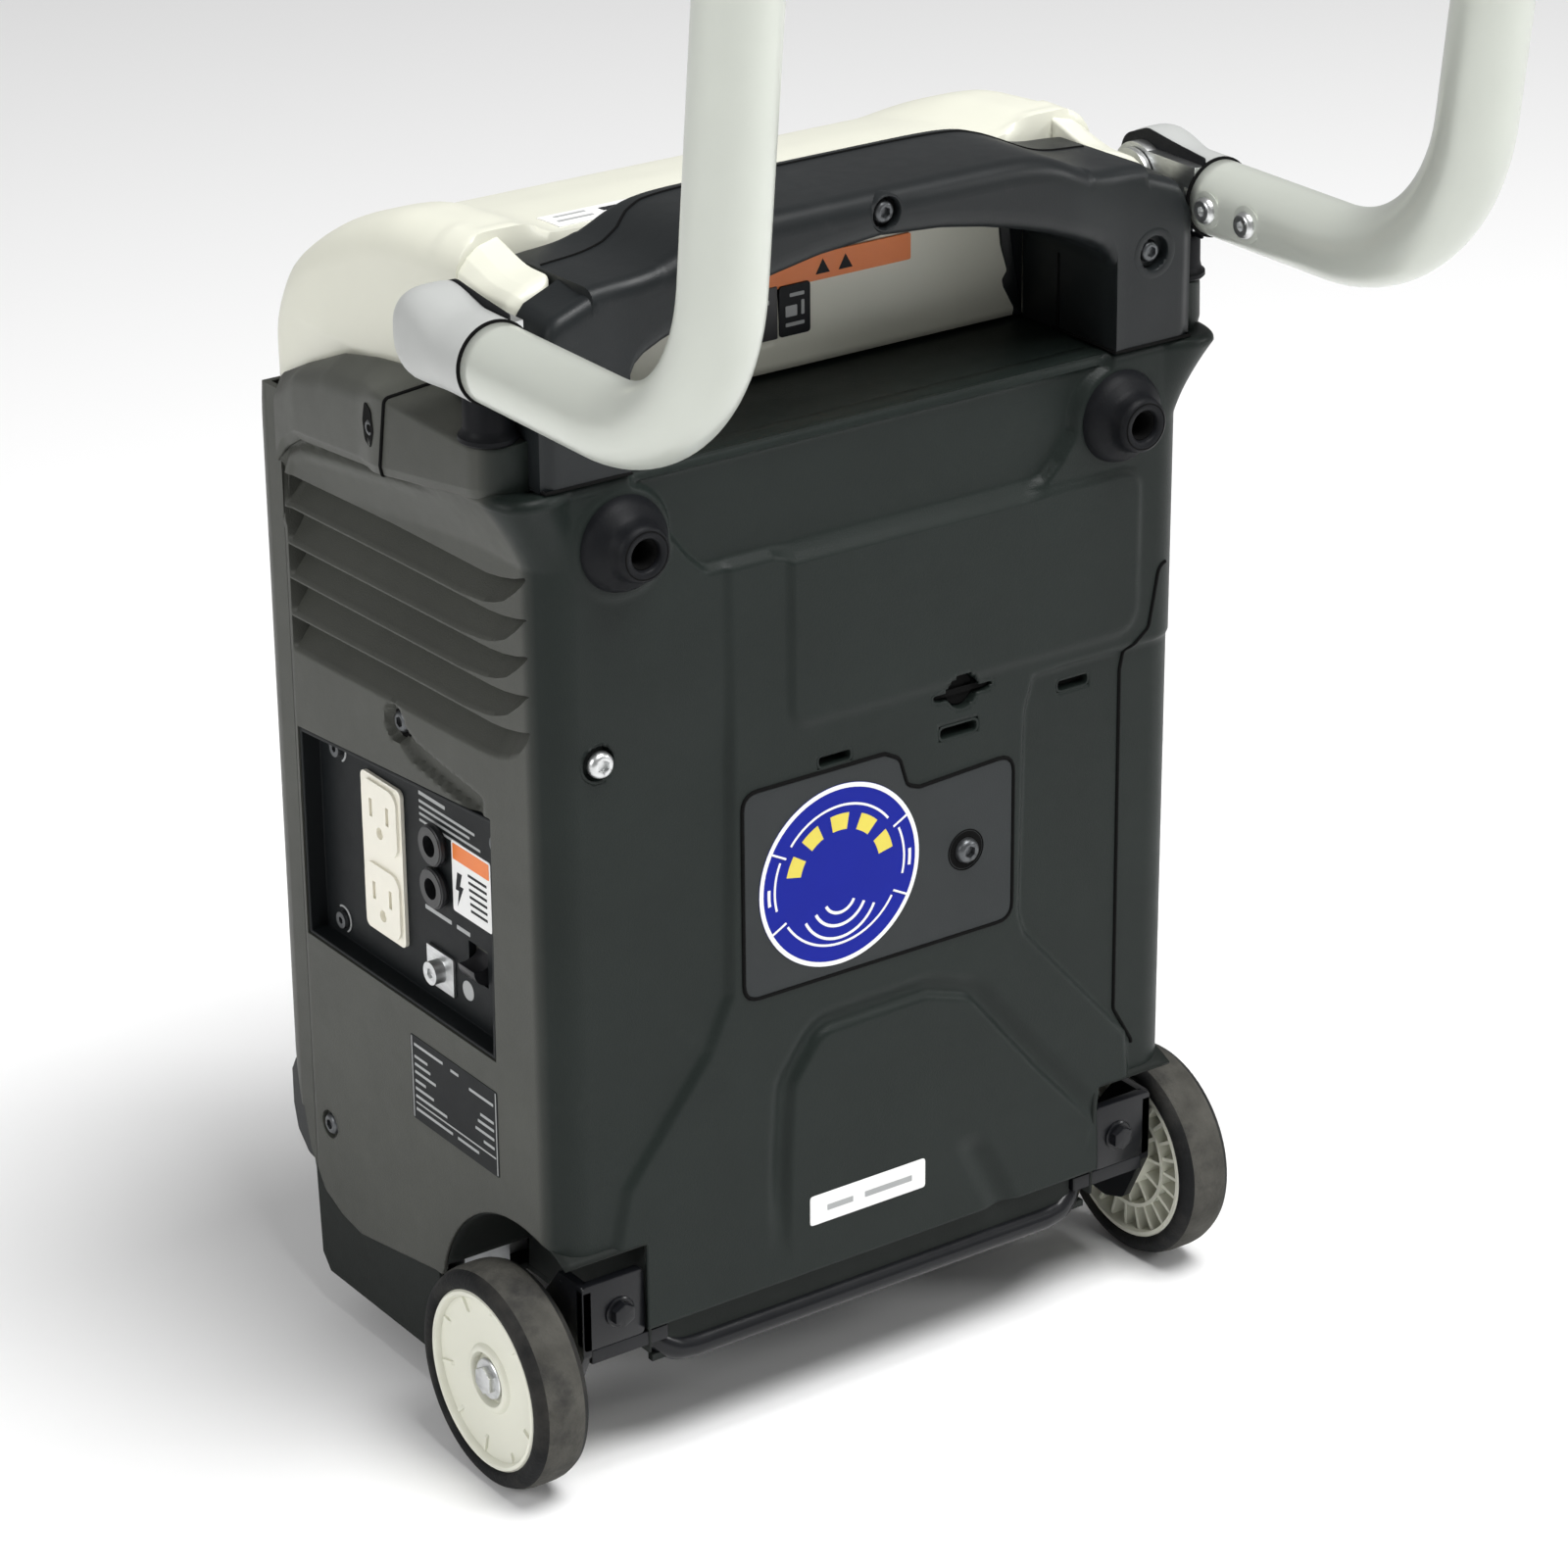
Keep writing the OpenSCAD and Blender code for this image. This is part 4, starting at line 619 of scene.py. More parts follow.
def build_shell():
    s = perimeter_columns()
    z = np.array([row_heights(v) for v in s])
    n_rows = z.shape[1]
    s2 = np.repeat(s[:, None], n_rows, 1)
    lowest, highest = low_z(s)[:, None], top_z(s)[:, None]
    grid_z = np.clip(z, lowest, highest)
    # the right edge of the panel recess leans, so the columns there lean with it
    lean = (np.clip(grid_z, RECESS_LOW, RECESS_HIGH) - 231) / 106 * -4.0
    s2 = s2 + lean * smooth(26, 0, np.abs(s2 - SEAM_RIGHT)) * 0.5
    x, y, nx, ny = skin(s2, grid_z)
    push = np.zeros_like(grid_z)
    rows = np.arange(n_rows)[None, :]
    in_panel = (rows >= ROW_STOPS[1]) & (rows <= ROW_STOPS[2]) & (s2 > SEAM_RIGHT + 0.1) & (s2 < SEAM_LEFT
            + 0.1)
    in_panel = in_panel & (s[:, None] >= SEAM_RIGHT + 0.14) & (s[:, None] <= SEAM_LEFT - 0.14)
    push[in_panel] = PANEL_DEPTH
    y_roll = UNROLL - s2
    power = LOUVRE_DEPTH * np.sqrt(np.clip((-12.9 - y_roll) / 26, 0, 1)) * (y_roll > -191) * (s2 > FLAT)
    for i in range(5):
        first, last = ROW_STOPS[4 + 3 * i], ROW_STOPS[5 + 3 * i]
        t = np.clip((rows - first) / (last - first), 0, 1) * ((rows >= first) & (rows <= last))
        push += power * t ** 0.9
    x, y = x - nx * push, y - ny * push
    pts = np.stack([x, y, grid_z], -1)
    # the rounded top edge and a strip of ledge
    extra = []
    for a in np.linspace(0, 90, 6)[1:]:
        extra.append((4 * (1 - math.cos(math.radians(a))), 4 * math.sin(math.radians(a))))
    extra += [(8.0, 4.0), (13.5, 3.7)]
    edge, enx, eny, top = pts[:, -1], nx[:, -1], ny[:, -1], highest[:, 0]
    strips = [np.stack([edge[:, 0] - enx * i, edge[:, 1] - eny * i, top + h], -1) for i, h in extra]
    pts = np.concatenate([pts, np.stack(strips, 1)], 1)
    m = pts.shape[1]
    faces = quads(len(s), m, flip=True)
    zz = np.concatenate([grid_z, np.tile(highest, (1, m - n_rows)) + np.arange(1, m - n_rows + 1)], 1).ravel()
    low = np.repeat(low_z(s), m)
    fz = zz[faces]
    flat = (fz.max(1) - fz.min(1)) < 1e-6
    fl = low[faces]
    jump = (fl.max(1) - fl.min(1)) > 8
    under = jump & (fz.max(1) <= fl.max(1) + 1e-6)
    centre = pts.reshape(-1, 3)[faces].mean(1)
    cut = flat | under
    on_rear = centre[:, 1] > -8
    for cx, cz, r in BIG_HOLES:
        cut |= on_rear & (np.hypot(centre[:, 0] - cx, centre[:, 2] - cz) < r + 0.6)
    cut |= on_rear & (np.abs(centre[:, 0] + 41) < 15.4) & (np.abs(centre[:, 2] - 303.8) < 2.6
                                                           - np.abs(centre[:, 0] + 41) * 0.08)
    for cx, cz, w, h in SLOT_HOLES:
        cut |= on_rear & (np.abs(centre[:, 0] - cx) < w / 2 + 0.5) & (np.abs(centre[:, 2] - cz) < h / 2 + 0.5)
    for cy, cz, r in SIDE_HOLES:
        cut |= (centre[:, 0] > 140) & (np.hypot(centre[:, 1] - cy, centre[:, 2] - cz) < r + 0.4)
    used = np.unique(faces[~cut])
    index = np.full(len(zz), -1)
    index[used] = np.arange(len(used))
    shell = add("rear_skin", pts.reshape(-1, 3)[used], index[faces[~cut]], "case", sharp=50,
                replaces=("rear_shell", "side_cover"))
    walled(shell, 2.0)


build_shell()


def on_rear(path, lift=0.0):
    p = np.array(path, float)
    x, y, _, _ = skin(p[:, 0], p[:, 1])
    return np.stack([x, y + lift, p[:, 1]], -1)


def dense(path, step=1.5, closed=False):
    """The same line with points close together."""
    p = np.array(path, float)
    if closed:
        p = np.vstack([p, p[:1]])
    out = []
    for a, b in zip(p[:-1], p[1:]):
        n = max(1, int(np.linalg.norm(b - a) / step))
        out += [a + (b - a) * k / n for k in range(n)]
    return np.array(out + ([] if closed else [p[-1]]))


# the deck in front of the lid, and the liners of the wheel arches
deck = rounded([(-150, -4), (150, -4), (150, -66), (-150, -66)], (12, 12, 1, 1))
plate("deck_ledge", deck, "z", 427.2, 429.75, "case")
for side, tag in SIDES:
    angles = np.linspace(math.radians(163), math.radians(62.1), 40)
    arc = np.stack([AXLE_Y + (ARCH_R - 0.15) * np.cos(angles), AXLE_Z + (ARCH_R - 0.15) * np.sin(angles)], 1)
    xs = np.array([113.2, 113.9, 118, 128, 138, 148, 153.6])
    inset = np.array([1.6, 0.5, 0, 0, 0, 0, 0])
    rings = []
    for x, k in zip(xs, inset):
        c = np.array([AXLE_Y, AXLE_Z])
        q = c + (arc - c) * (1 - k / ARCH_R)
        rings.append(np.stack([np.full(len(q), side * x), q[:, 0], q[:, 1]], 1))
    wall = np.vstack([arc[::-1], [(-92, 52), (-2, 52)]])
    wall_pts = np.stack([np.full(len(wall), side * 113.2), wall[:, 0], wall[:, 1]], 1)
    parts = [(np.array(rings).reshape(-1, 3), quads(len(xs), len(arc)).tolist()),
             (wall_pts, [list(range(len(wall)))])]
    liner = join("wheel_liner_" + tag, parts, "base")
    walled(liner, 1.2, 0)

# seams: dark gaps that follow the surface
COVER_SEAM = rounded([(-154.8, 335), (-141, 335), (-136, 308.5), (-125, 300), (-123.3, 292), (-124, 137),
                      (-134, 119.7), (-134.5, 104)], (0, 5, 5, 5, 5, 6, 6, 0))


def seam(name, points, width=0.75, body="body", closed=False):
    v, f = tube_part(points, width, 8, closed)
    return add(name, v, f, "gap", body)


seam("cover_seam", on_rear(dense(COVER_SEAM[1:-1])), 0.8)

# the maintenance door, flush in the rear face
DOOR = rounded([(66, 197), (-66.5, 197), (-66.5, 269.5), (-19.5, 267.2), (-13.2, 269.7), (-9.3, 282.3),
                (-2.3, 286),
                (66, 286)], (7, 7, 7, 5, 5, 5, 5, 7), 5)
door_line = dense(grow(DOOR, 0.55), 2.0, True)
seam("door_gap", on_rear(door_line), 0.85, closed=True)
door_verts, door_faces = plate_part(DOOR, "y", -1.2, 0.3, 0.5)
add("door_plate", door_verts, door_faces, "door", sharp=12, replaces=("maintenance_door",))

# hollows in the rear face: screw wells, the winged hole and the three slots
pits = []
for cx, cz, r in BIG_HOLES:
    level = float(on_rear([(cx, cz)])[0][1])
    if cx < 0:
        wing = [(r * math.cos(a), r * math.sin(a)) for a in np.linspace(0.5, math.pi - 0.5, 14)]
        outline = [(14.5, 0.4)] + wing + [(-14.5, 0.4), (-14.5, -1.4)] + [(-p, -q) for p,
                q in wing] + [(14.5, -1.4)]
        outline = rounded(np.array(outline)[::-1] + (cx, cz), 0.6, 2)
    else:
        outline = circle(cx, cz, r)
    pits.append(pit_part(outline, "y", level, 6.5, flange=1.5))
for cx, cz, w, h in SLOT_HOLES:
    pits.append(pit_part(pill(cx, cz, w, h), "y", float(on_rear([(cx, cz)])[0][1]), 7, flange=1.3))
for cy, cz, r in SIDE_HOLES:
    pits.append(pit_part(circle(cy, cz, r), "x", HALF_W, 2.2, flange=1.5))
join("shell_wells", pits, "case", sharp=50)
floors = [plate_part(pill(cx, cz, w - 1, h - 1), "y", -6.4, -6.2) for cx, cz, w, h in SLOT_HOLES]
floors.append(plate_part(circle(-41, 304, 6.6), "y", -3.3, -3.1))
floors.append(plate_part(box_outline(-54.6, 302.4, -27.4, 305, 0.6), "y", -2.2, -2.0))
join("slot_shadows", floors, "gap")
# the well round the door's screw, drawn as a flat dark disc: painted shade
DOOR_SCREW = (-43, 233.8)
door_well_shade = circle(*DOOR_SCREW, 8.2)
join("door_well_shade", [pit_part(door_well_shade, "y", 0.3, 0.26, flange=0.9, lift=0.35, lip=0.4, floor=False),
                   plate_part(circle(*DOOR_SCREW, 8.1), "y", 0.2, 0.36)], "gap")


def hex_screw(r, head, origin, axis, socket=0.5):
    """Button head with a washer face and a six-sided socket, as (points, faces)."""
    prof = [(0, head * 0.35), (r * socket * 0.98, head * 0.35), (r * socket, head * 0.93), (r * 0.62, head),
            (r * 0.82, head * 0.86), (r * 0.95, head * 0.55), (r, head * 0.1), (r, 0)]
    rings = lathe_points(prof, origin, axis, 36)
    hexed = lathe_points(prof[:3], origin, axis, 36, flat=6)
    rings[:3] = hexed
    return rings.reshape(-1, 3), quads(len(prof), 36, wrap_v=True).tolist()


# ---------------------------------------------------------------- sticker and printed labels

def ring_part(cx, cz, r0, r1, a0, a1, low, high, n=64):
    a = np.radians(np.linspace(a0, a1, n))
    out = np.concatenate([np.stack([cx + r1 * np.cos(a), cz + r1 * np.sin(a)], 1),
                          np.stack([cx + r0 * np.cos(a), cz + r0 * np.sin(a)], 1)[::-1]])
    loops = [place(out, "y", low), place(out, "y", high)]
    m = len(out)
    faces = quads(2, m, wrap_v=True).tolist()
    for k in range(n - 1):
        faces.append([m + k, m + k + 1, 2 * m - 2 - k, 2 * m - 1 - k])
    return np.vstack(loops), faces


STICK = (20.0, 240.0)
join("sticker_disc", [plate_part(circle(*STICK, 39.2, 96), "y", 0.2, 0.52, 0.12)], "blue", sharp=12)
white = [ring_part(*STICK, 37.2, 39.1, 0, 360, 0.4, 0.62, 97),
         ring_part(*STICK, 31.2, 32.2, -14, 24, 0.4, 0.6, 20),
         ring_part(*STICK, 29.6, 30.6, 38, 142, 0.4, 0.6),
         ring_part(*STICK, 31.2, 32.2, 156, 194, 0.4, 0.6, 20),
         ring_part(*STICK, 29.6, 30.6, 212, 328, 0.4, 0.6), ring_part(*STICK, 33.8, 35.2, -8, 4, 0.4, 0.6, 8),
         ring_part(*STICK, 33.8, 35.2, 176, 188, 0.4, 0.6, 8)]
for a in (-28, 28, 152, 208):
    p = np.array([[math.cos(math.radians(a)), math.sin(math.radians(a))]] * 2) * [[29.8], [37.5]] + STICK
    white.append(tube_part(np.stack([p[:, 0], [0.5, 0.5], p[:, 1]], 1), 0.5, 6))
# plain arcs that stand for a quiet sound
for r, w in ((7.5, 1.3), (13.0, 1.3), (18.5, 1.2)):
    white.append(ring_part(STICK[0], STICK[1] - 9, r - w / 2, r + w / 2, 205, 335, 0.4, 0.6, 30))
join("sticker_rings", white, "white")
blocks = []
for a in (22, 56, 90, 124, 158):
    blocks.append(ring_part(*STICK, 19.5, 26.5, a - 10, a + 10, 0.4, 0.6, 8))
join("sticker_blocks", blocks, "gold")

# plain identification plate on the rear face, and its two pale marks
plate_y = float(on_rear([(6, 92)])[0][1])
tag = box_outline(-23, 85.5, 35.5, 99, 1.6)
join("rear_tag", [plate_part(tag, "y", plate_y - 0.4, plate_y + 0.45, 0.2)], "white", sharp=12)
join("rear_tag_bars", [plate_part(box_outline(x0, 90.6, x1, 93.2, 0.3), "y", plate_y + 0.3, plate_y + 0.52)
                       for x0, x1 in ((14, 27), (-16, 8))], "tint")

# rating label on the +X side: dark, with thin pale rules and no lettering
label = [plate_part(box_outline(-111, 126, -45, 164.5, 1.2), "x", HALF_W - 0.3, HALF_W + 0.22, 0.1)]
join("rating_label", label, "panel", sharp=12)
rules = []
for k, (y0, y1, z0) in enumerate([(-108, -86, 160), (-80, -74, 159.5), (-66, -48, 157), (-108, -98, 154.5),
                                  (-108, -96, 151), (-108, -92, 147.5), (-58, -48, 149), (-60, -48, 145.5),
                                  (-108, -100, 143.5), (-108, -94, 140), (-62, -48, 141.5),
                                  (-108, -84, 136.5),
                                  (-56, -48, 137.5), (-108, -47, 133.8), (-108, -80, 130.5),
                                  (-76, -60, 130.5)]):
    rules.append(plate_part(box_outline(y0, z0, y1, z0 + (0.7 if k == 13 else 1.25), 0.2, 2), "x", HALF_W
                            + 0.1, HALF_W + 0.3))
for y0, z0, y1, z1 in ((-110.2, 126.8, -109.6, 163.8), (-46.4, 126.8, -45.8, 163.8)):
    rules.append(plate_part([(y0, z0), (y1, z0), (y1, z1), (y0, z1)], "x", HALF_W + 0.1, HALF_W + 0.3))
join("rating_rules", rules, "tint")

# printing on the outlet panel
FACE = 146.0
prints = []
for y0, z0, y1, z1 in ((-152, 270.5, -133, 272.5), (-112, 268, -92, 269.6), (-112, 264.6, -70, 265.8),
                       (-112, 261.8, -74, 262.9), (-112, 259.0, -66, 260.1), (-112, 256.2, -80, 257.3),
                       (-110, 218.4, -90, 220.2), (-86, 218.4, -76, 220.2)):
    prints.append(plate_part(box_outline(y0, z0, y1, z1, 0.3, 2), "x", FACE - 0.1, FACE + 0.12))
prints.append(plate_part(circle(-79, 193.5, 4.2), "x", FACE - 0.1, FACE + 0.12))
for rr in ((-174.6, 266, 5.6), (-176.5, 188, 5.6)):
    a = np.radians(np.linspace(-60, 120, 24))
    p = np.stack([np.full(24, FACE + 0.06), rr[0] + rr[2] * np.cos(a), rr[1] + rr[2] * np.sin(a)], 1)
    prints.append(tube_part(p, 0.5, 6))
join("panel_print", prints, "tint")
join("panel_notice", [plate_part(box_outline(-88, 226, -59, 257, 1.4), "x", FACE - 0.1, FACE + 0.2, 0.08)],
     "white", sharp=12)
join("panel_notice_band", [plate_part(box_outline(-87, 249, -60, 256, 0.6), "x", FACE + 0.1, FACE + 0.28)],
     "orange")
bars = [plate_part(box_outline(-76 + 0.3 * k, 245 - 3.0 * k, -62, 246.2 - 3.0 * k, 0.3, 2), "x", FACE + 0.1,
                   FACE + 0.27)
        for k in range(6)]
bars.append(plate_part([(-84, 244), (-80.5, 244), (-82.2, 238.4), (-79.6, 238.4), (-84.4, 229),
                        (-83.2, 236), (-85.6, 236)],
                       "x", FACE + 0.1, FACE + 0.27))
join("panel_notice_bars", bars, "ink")
sleeve = [(6.9, 18.0), (8.4, 18.2), (8.9, 19.2), (8.6, 20.6), (7.6, 21.2), (6.4, 20.6), (5.4, 19.2),
          (4.9, 17.0), (4.8, 14.0)]
for k, z in enumerate((232, 250.7)):
    lathe("socket_ring_%d" % (k + 1), sleeve, (FACE - 14.0 - 3.2, -99, z), "x", "switch", seg=40)


# ---------------------------------------------------------------- hand grip

ARCH_X = [0, 28.7, 50, 65, 79.8, 92, 101, 107.9, 112.5, 115.0]
ARCH_Z = [500.5, 498.3, 494.6, 491.0, 486.7, 482.2, 478.4, 474.5, 470.0, 464.0]
GRIP_SCREW = (134, 468.7)                 # x and z of the screw in each end of the grip
MIDDLE_SCREW_Z = 511


def grip_section(x):
    """Corners of the grip's cross-section at x: rear, front, bottom, top, and whether x lies on an end block.
    """
    a = abs(x)
    block = a > 115.2
    bottom = 430.2 if block else float(np.interp(a, ARCH_X, ARCH_Z))
    top = 505.5 + 14.0 / (1 + math.exp((a - 92) / 7.5)) - 2.0 * smooth(118, 150, a)
    rear = 0.8 + 3.6 * (1 - smooth(88, 122, a))
    return rear, -59.6, bottom, float(top), block


def grip_loop(x, n=7):
    rear, front, bottom, top, block = grip_section(x)
    seat = abs(x) > 130.3        # the lid's tongue lies over this part
    if seat:
        top = float(np.interp(abs(x), [130, 146, 154], [504.0, 497.5, 487.5]))
    rt = 9.0 if abs(x) < 100 else 7.0
    rb = 8.5 if not block else 1.5
    end = smooth(148, 154, abs(x)) * 2.2
    rear, front, top = rear - end, front + end * 0.5, top - end
    crest = 486.3 if seat else top - 1.5
    q = rounded([(rear, bottom), (rear, top), (front, crest), (front, bottom)],
                (rb, rt, 1.0 if seat else rt * 0.7, rb), n)
    step = [(-22.6, top - 0.6), (-23.4, 486.5 if seat else top - 0.62)]
    rise = np.linspace(q[n], q[n + 1], 26)[1:-1]
    return np.vstack([q[:n + 1], rise, q[n + 1:2 * n + 2], step, q[2 * n + 2:]])


def build_grip():
    xs = np.unique(np.concatenate([np.linspace(0, 9, 13), np.linspace(11, 80, 30),
                                   np.linspace(80, 115.0, 26), [115.35], np.linspace(117, 130.1, 7),
                                   [130.45], np.linspace(132, 148, 8), np.linspace(149, 154, 6)]))
    xs = np.concatenate([-xs[::-1], xs[1:]])
    loops = [np.stack([np.full(len(q), x), q[:, 0], q[:, 1]], 1) for x in xs for q in [grip_loop(x)]]
    pts = np.array(loops)
    faces = quads(len(xs), pts.shape[1], wrap_v=True)
    centre = pts.reshape(-1, 3)[faces].mean(1)
    cut = np.zeros(len(faces), bool)
    for side in (1, -1):
        cut |= (centre[:, 1] > -3) & (np.hypot(centre[:, 0] - side * GRIP_SCREW[0], centre[:, 2]
                                               - GRIP_SCREW[1]) < 7.6) & (np.abs(centre[:, 0]) > 116)
    cut |= (centre[:, 1] > 0) & (np.hypot(centre[:, 0], centre[:, 2] - MIDDLE_SCREW_Z) < 6.8)
    cap = [list(range(pts.shape[1]))[::-1], list(range((len(xs) - 1) * pts.shape[1], len(xs) * pts.shape[1]))]
    add("hand_grip", pts.reshape(-1, 3), faces[~cut].tolist() + cap, "handle", sharp=42,
               replaces=("grip_lower_shell", "grip_upper_shell"))


build_grip()
# finer walls between the pockets and the grip's rear face
pockets = [pit_part(circle(side * GRIP_SCREW[0], GRIP_SCREW[1], 7.0), "y", 0.75, 4.4, flange=4.2,
                    lift=0.12) for side in (1, -1)]
join("grip_pockets", pockets, "handle", sharp=50)


def grip_top(x, y):
    return grip_section(x)[3] - 1.5 * (4.0 - y) / 64


def grip_line(side):
    pts = [(154, -38), (118, -38), (100, -38.5), (92, -41), (84, -47), (76, -50), (40, -51), (0, -51)]
    q = dense(pts, 2.0)
    return [(side * x, y, grip_top(x, y)) for x, y in q if x < 130]


line = grip_line(1) + grip_line(-1)[::-1][1:]
seam("grip_seam", np.array(line) + (0, 0, -0.15), 0.7)
# the joint line between each end block and the grip's underside
for side, tag in SIDES:
    seam("block_seam_" + tag, [(side * x, y, 431.0) for x,
                               y in dense([(115.3, -40), (115.3, 0.9), (153.2, 0.9), (154.0, -40)], 2)], 0.7)
    seam("block_joint_" + tag, [(side * 115.1, -36, z) for z in np.linspace(431, 463, 12)], 0.6)
# the grip's middle screw sits in a round well
lathe("grip_screw_well", [(7.9, -6), (7.7, 3.5), (7.2, 4.5), (6.7, 4.5), (6.3, 3.7), (6.1, 0.4), (6.1, -6)],
      (0, 0, MIDDLE_SCREW_Z), "y", "handle", seg=48)
lathe("grip_screw_shadow", [(0, 0.6), (6.3, 0.6), (6.3, 0.2), (0, 0.2)], (0, 0, MIDDLE_SCREW_Z), "y", "gap",
      seg=32)
heads = [hex_screw(4.7, 3.0, (0, 0.6, MIDDLE_SCREW_Z), "y"),
         hex_screw(4.6, 2.6, (GRIP_SCREW[0], -3.6, GRIP_SCREW[1]), "y"),
         hex_screw(4.6, 2.6, (-GRIP_SCREW[0], -3.6, GRIP_SCREW[1]), "y"),
         hex_screw(5.4, 3.4, (DOOR_SCREW[0], 0.2, DOOR_SCREW[1]), "y"),
         hex_screw(4.7, 2.6, (150.6, *SCREW_GROOVE[0]), "x"), hex_screw(4.7, 2.6, (152.9, -181.5, 92.2), "x")]
join("case_screw_heads", heads, "dark_steel", replaces=("case_screws",))
join("cover_screw_head", [hex_screw(5.6, 3.4, (131, -1.6, 316), "y")], "zinc")
join("side_screw_shadow", [lathe_part([(4.8, 0), (7.0, 0), (7.0, 0.3), (4.8, 0.3)],
                                      (150.5, *SCREW_GROOVE[0]), "x", 36)],
     "gap")


# ---------------------------------------------------------------- lid

def lid_profile(x):
    """The lid's outer line at x, from its front edge over the top to the foot of the rear wall."""
    raise_end = smooth(103, 124, abs(x)) * 2.6
    dip = (1 - smooth(100, 124, abs(x))) * 4.2
    top = [(-211.8, 418.5), (-211.6, 440), (-206, 456), (-193, 473), (-160, 491), (-122, 504.3 - dip),
           (-95, 508 - dip),
           (-70, 509.3 - dip), (-62.2, 507 - dip), (-62.2, 470), (-61.2, 452), (-60.6, 431.3)]
    return np.array([(y, z + raise_end * smooth(474, 500, z)) for y, z in top])


def smooth_line(q, n):
    """Points evenly along a Catmull-Rom curve through q."""
    q = np.array(q, float)
    ext = np.vstack([2 * q[0] - q[1], q, 2 * q[-1] - q[-2]])
    out = []
    for k in range(1, len(ext) - 2):
        p0, p1, p2, p3 = ext[k - 1], ext[k], ext[k + 1], ext[k + 2]
        for t in np.linspace(0, 1, 12, endpoint=False):
            out.append(0.5 * (2 * p1 + (p2 - p0) * t + (2 * p0 - 5 * p1 + 4 * p2 - p3) * t ** 2
                              + (3 * p1 - p0 - 3 * p2 + p3) * t ** 3))
    out.append(q[-1])
    out = np.array(out)
    d = np.concatenate([[0], np.cumsum(np.linalg.norm(np.diff(out, axis=0), axis=1))])
    t = np.linspace(0, d[-1], n)
    return np.stack([np.interp(t, d, out[:, 0]), np.interp(t, d, out[:, 1])], 1)


LID_W = 150.8
TONGUE_ROOT = np.array([(130.8, 487.2), (151.2, 487.2), (151.2, 494), (149.3, 500.0), (145.5, 505.2),
                        (140.5, 508.8), (130.8, 511.0)])
TONGUE_TIP = np.array([(130.8, 487.2), (151.2, 487.2), (151.2, 492.0), (149.6, 496.0), (146.0, 499.0),
                       (141.0, 501.2), (130.8, 504.2)])
LID_N = 84


LID_END_R = 17.0


def build_lid():
    r = LID_END_R
    xs, insets = list(np.linspace(0, LID_W - r, 56)), [0.0] * 56
    for a in np.linspace(0, 90, 10)[1:]:
        xs.append(LID_W - r + r * math.sin(math.radians(a)))
        insets.append(r * (1 - math.cos(math.radians(a))))
    cols = []
    for x, inset in zip(xs, insets):
        q = smooth_line(lid_profile(x), LID_N)
        t = np.gradient(q, axis=0)
        t /= np.linalg.norm(t, axis=1)[:, None]
        nrm = np.stack([-t[:, 1], t[:, 0]], 1)       # outward is to the left of the direction of travel
        rear_part = q[:, 0] > -80
        crown = q[rear_part, 1].max() - inset
        q = np.where(rear_part[:, None], np.stack([q[:, 0], np.minimum(q[:, 1], crown)], 1), q - nrm * inset)
        cols.append(np.stack([np.full(len(q), x), q[:, 0], q[:, 1]], 1))
    right = np.array(cols)
    left = right[::-1][:-1] * (-1, 1, 1)
    pts = np.concatenate([left, right])
    n, m = pts.shape[:2]
    faces = quads(n, m)
    centre = pts.reshape(-1, 3)[faces].mean(1)
    # the opening for the release button and the arch of each cheek
    cut = (centre[:, 1] > -70) & (centre[:, 0] > 4.3) & (centre[:, 0] < 49.7) & (centre[:,
            2] > 443.3) & (centre[:, 2] < 466.7)
    parts = [(pts.reshape(-1, 3), faces[~cut].tolist())]
    arch = [(-64, 446), (-87, 445), (-131, 437), (-156, 430), (-174, 421.5), (-190, 418.6)]
    for edge in (pts[0], pts[-1]):
        keep = edge[(edge[:, 2] > 446) | (edge[:, 1] < -150)]
        fan = np.vstack([keep, [(edge[0][0], y, z) for y, z in arch]])
        parts.append((fan, [list(range(len(fan)))]))
    # tongues that lie over the ends of the grip
    for side in (1, -1):
        rings = []
        for y in np.concatenate([np.linspace(-68, -31, 14), -30 + 6.2
                                 * np.sin(np.linspace(0, math.pi / 2, 9))]):
            tip = 1 - math.sqrt(max(1 - (max(y + 30, 0) / 6.3) ** 2, 0))
            k = smooth(-70, -38, y)
            q = TONGUE_ROOT * (1 - k) + TONGUE_TIP * k
            q = np.stack([q[:, 0] + (141 - q[:, 0]) * 0.72 * tip, q[:, 1] - (q[:, 1] - 487.2) * 0.5 * tip], 1)
            q = rounded(q, (0.4, 0.4, 4, 4, 4, 4, 1.6), 4)
            rings.append(np.stack([side * q[:, 0], np.full(len(q), y), q[:, 1]], 1))
        k = len(rings[0])
        parts.append((np.array(rings).reshape(-1, 3), quads(len(rings), k, wrap_v=True).tolist()
                      + [list(range(k))[::-1], list(range((len(rings) - 1) * k, len(rings) * k))]))
    lid = join("lid_cover", parts, "cream", "lid", sharp=55, replaces=("lid",))
    walled(lid, 2.4)
    # hinge lugs on the front lip
    lugs = []
    for side in (1, -1):
        barrel = [(1.6, 0), (3.6, 0), (3.6, 16), (1.6, 16), (1.6, 0)]
        lugs.append(lathe_part(barrel, (side * 120, -210.5, 420), x_axis(side), 24))
        lugs.append(plate_part([(-211.9, 420), (-209.3, 420), (-209.3, 426), (-211.9, 426)], "x",
                               side * 120, side * 136))
    join("lid_lugs", lugs, "cream", "lid")


build_lid()
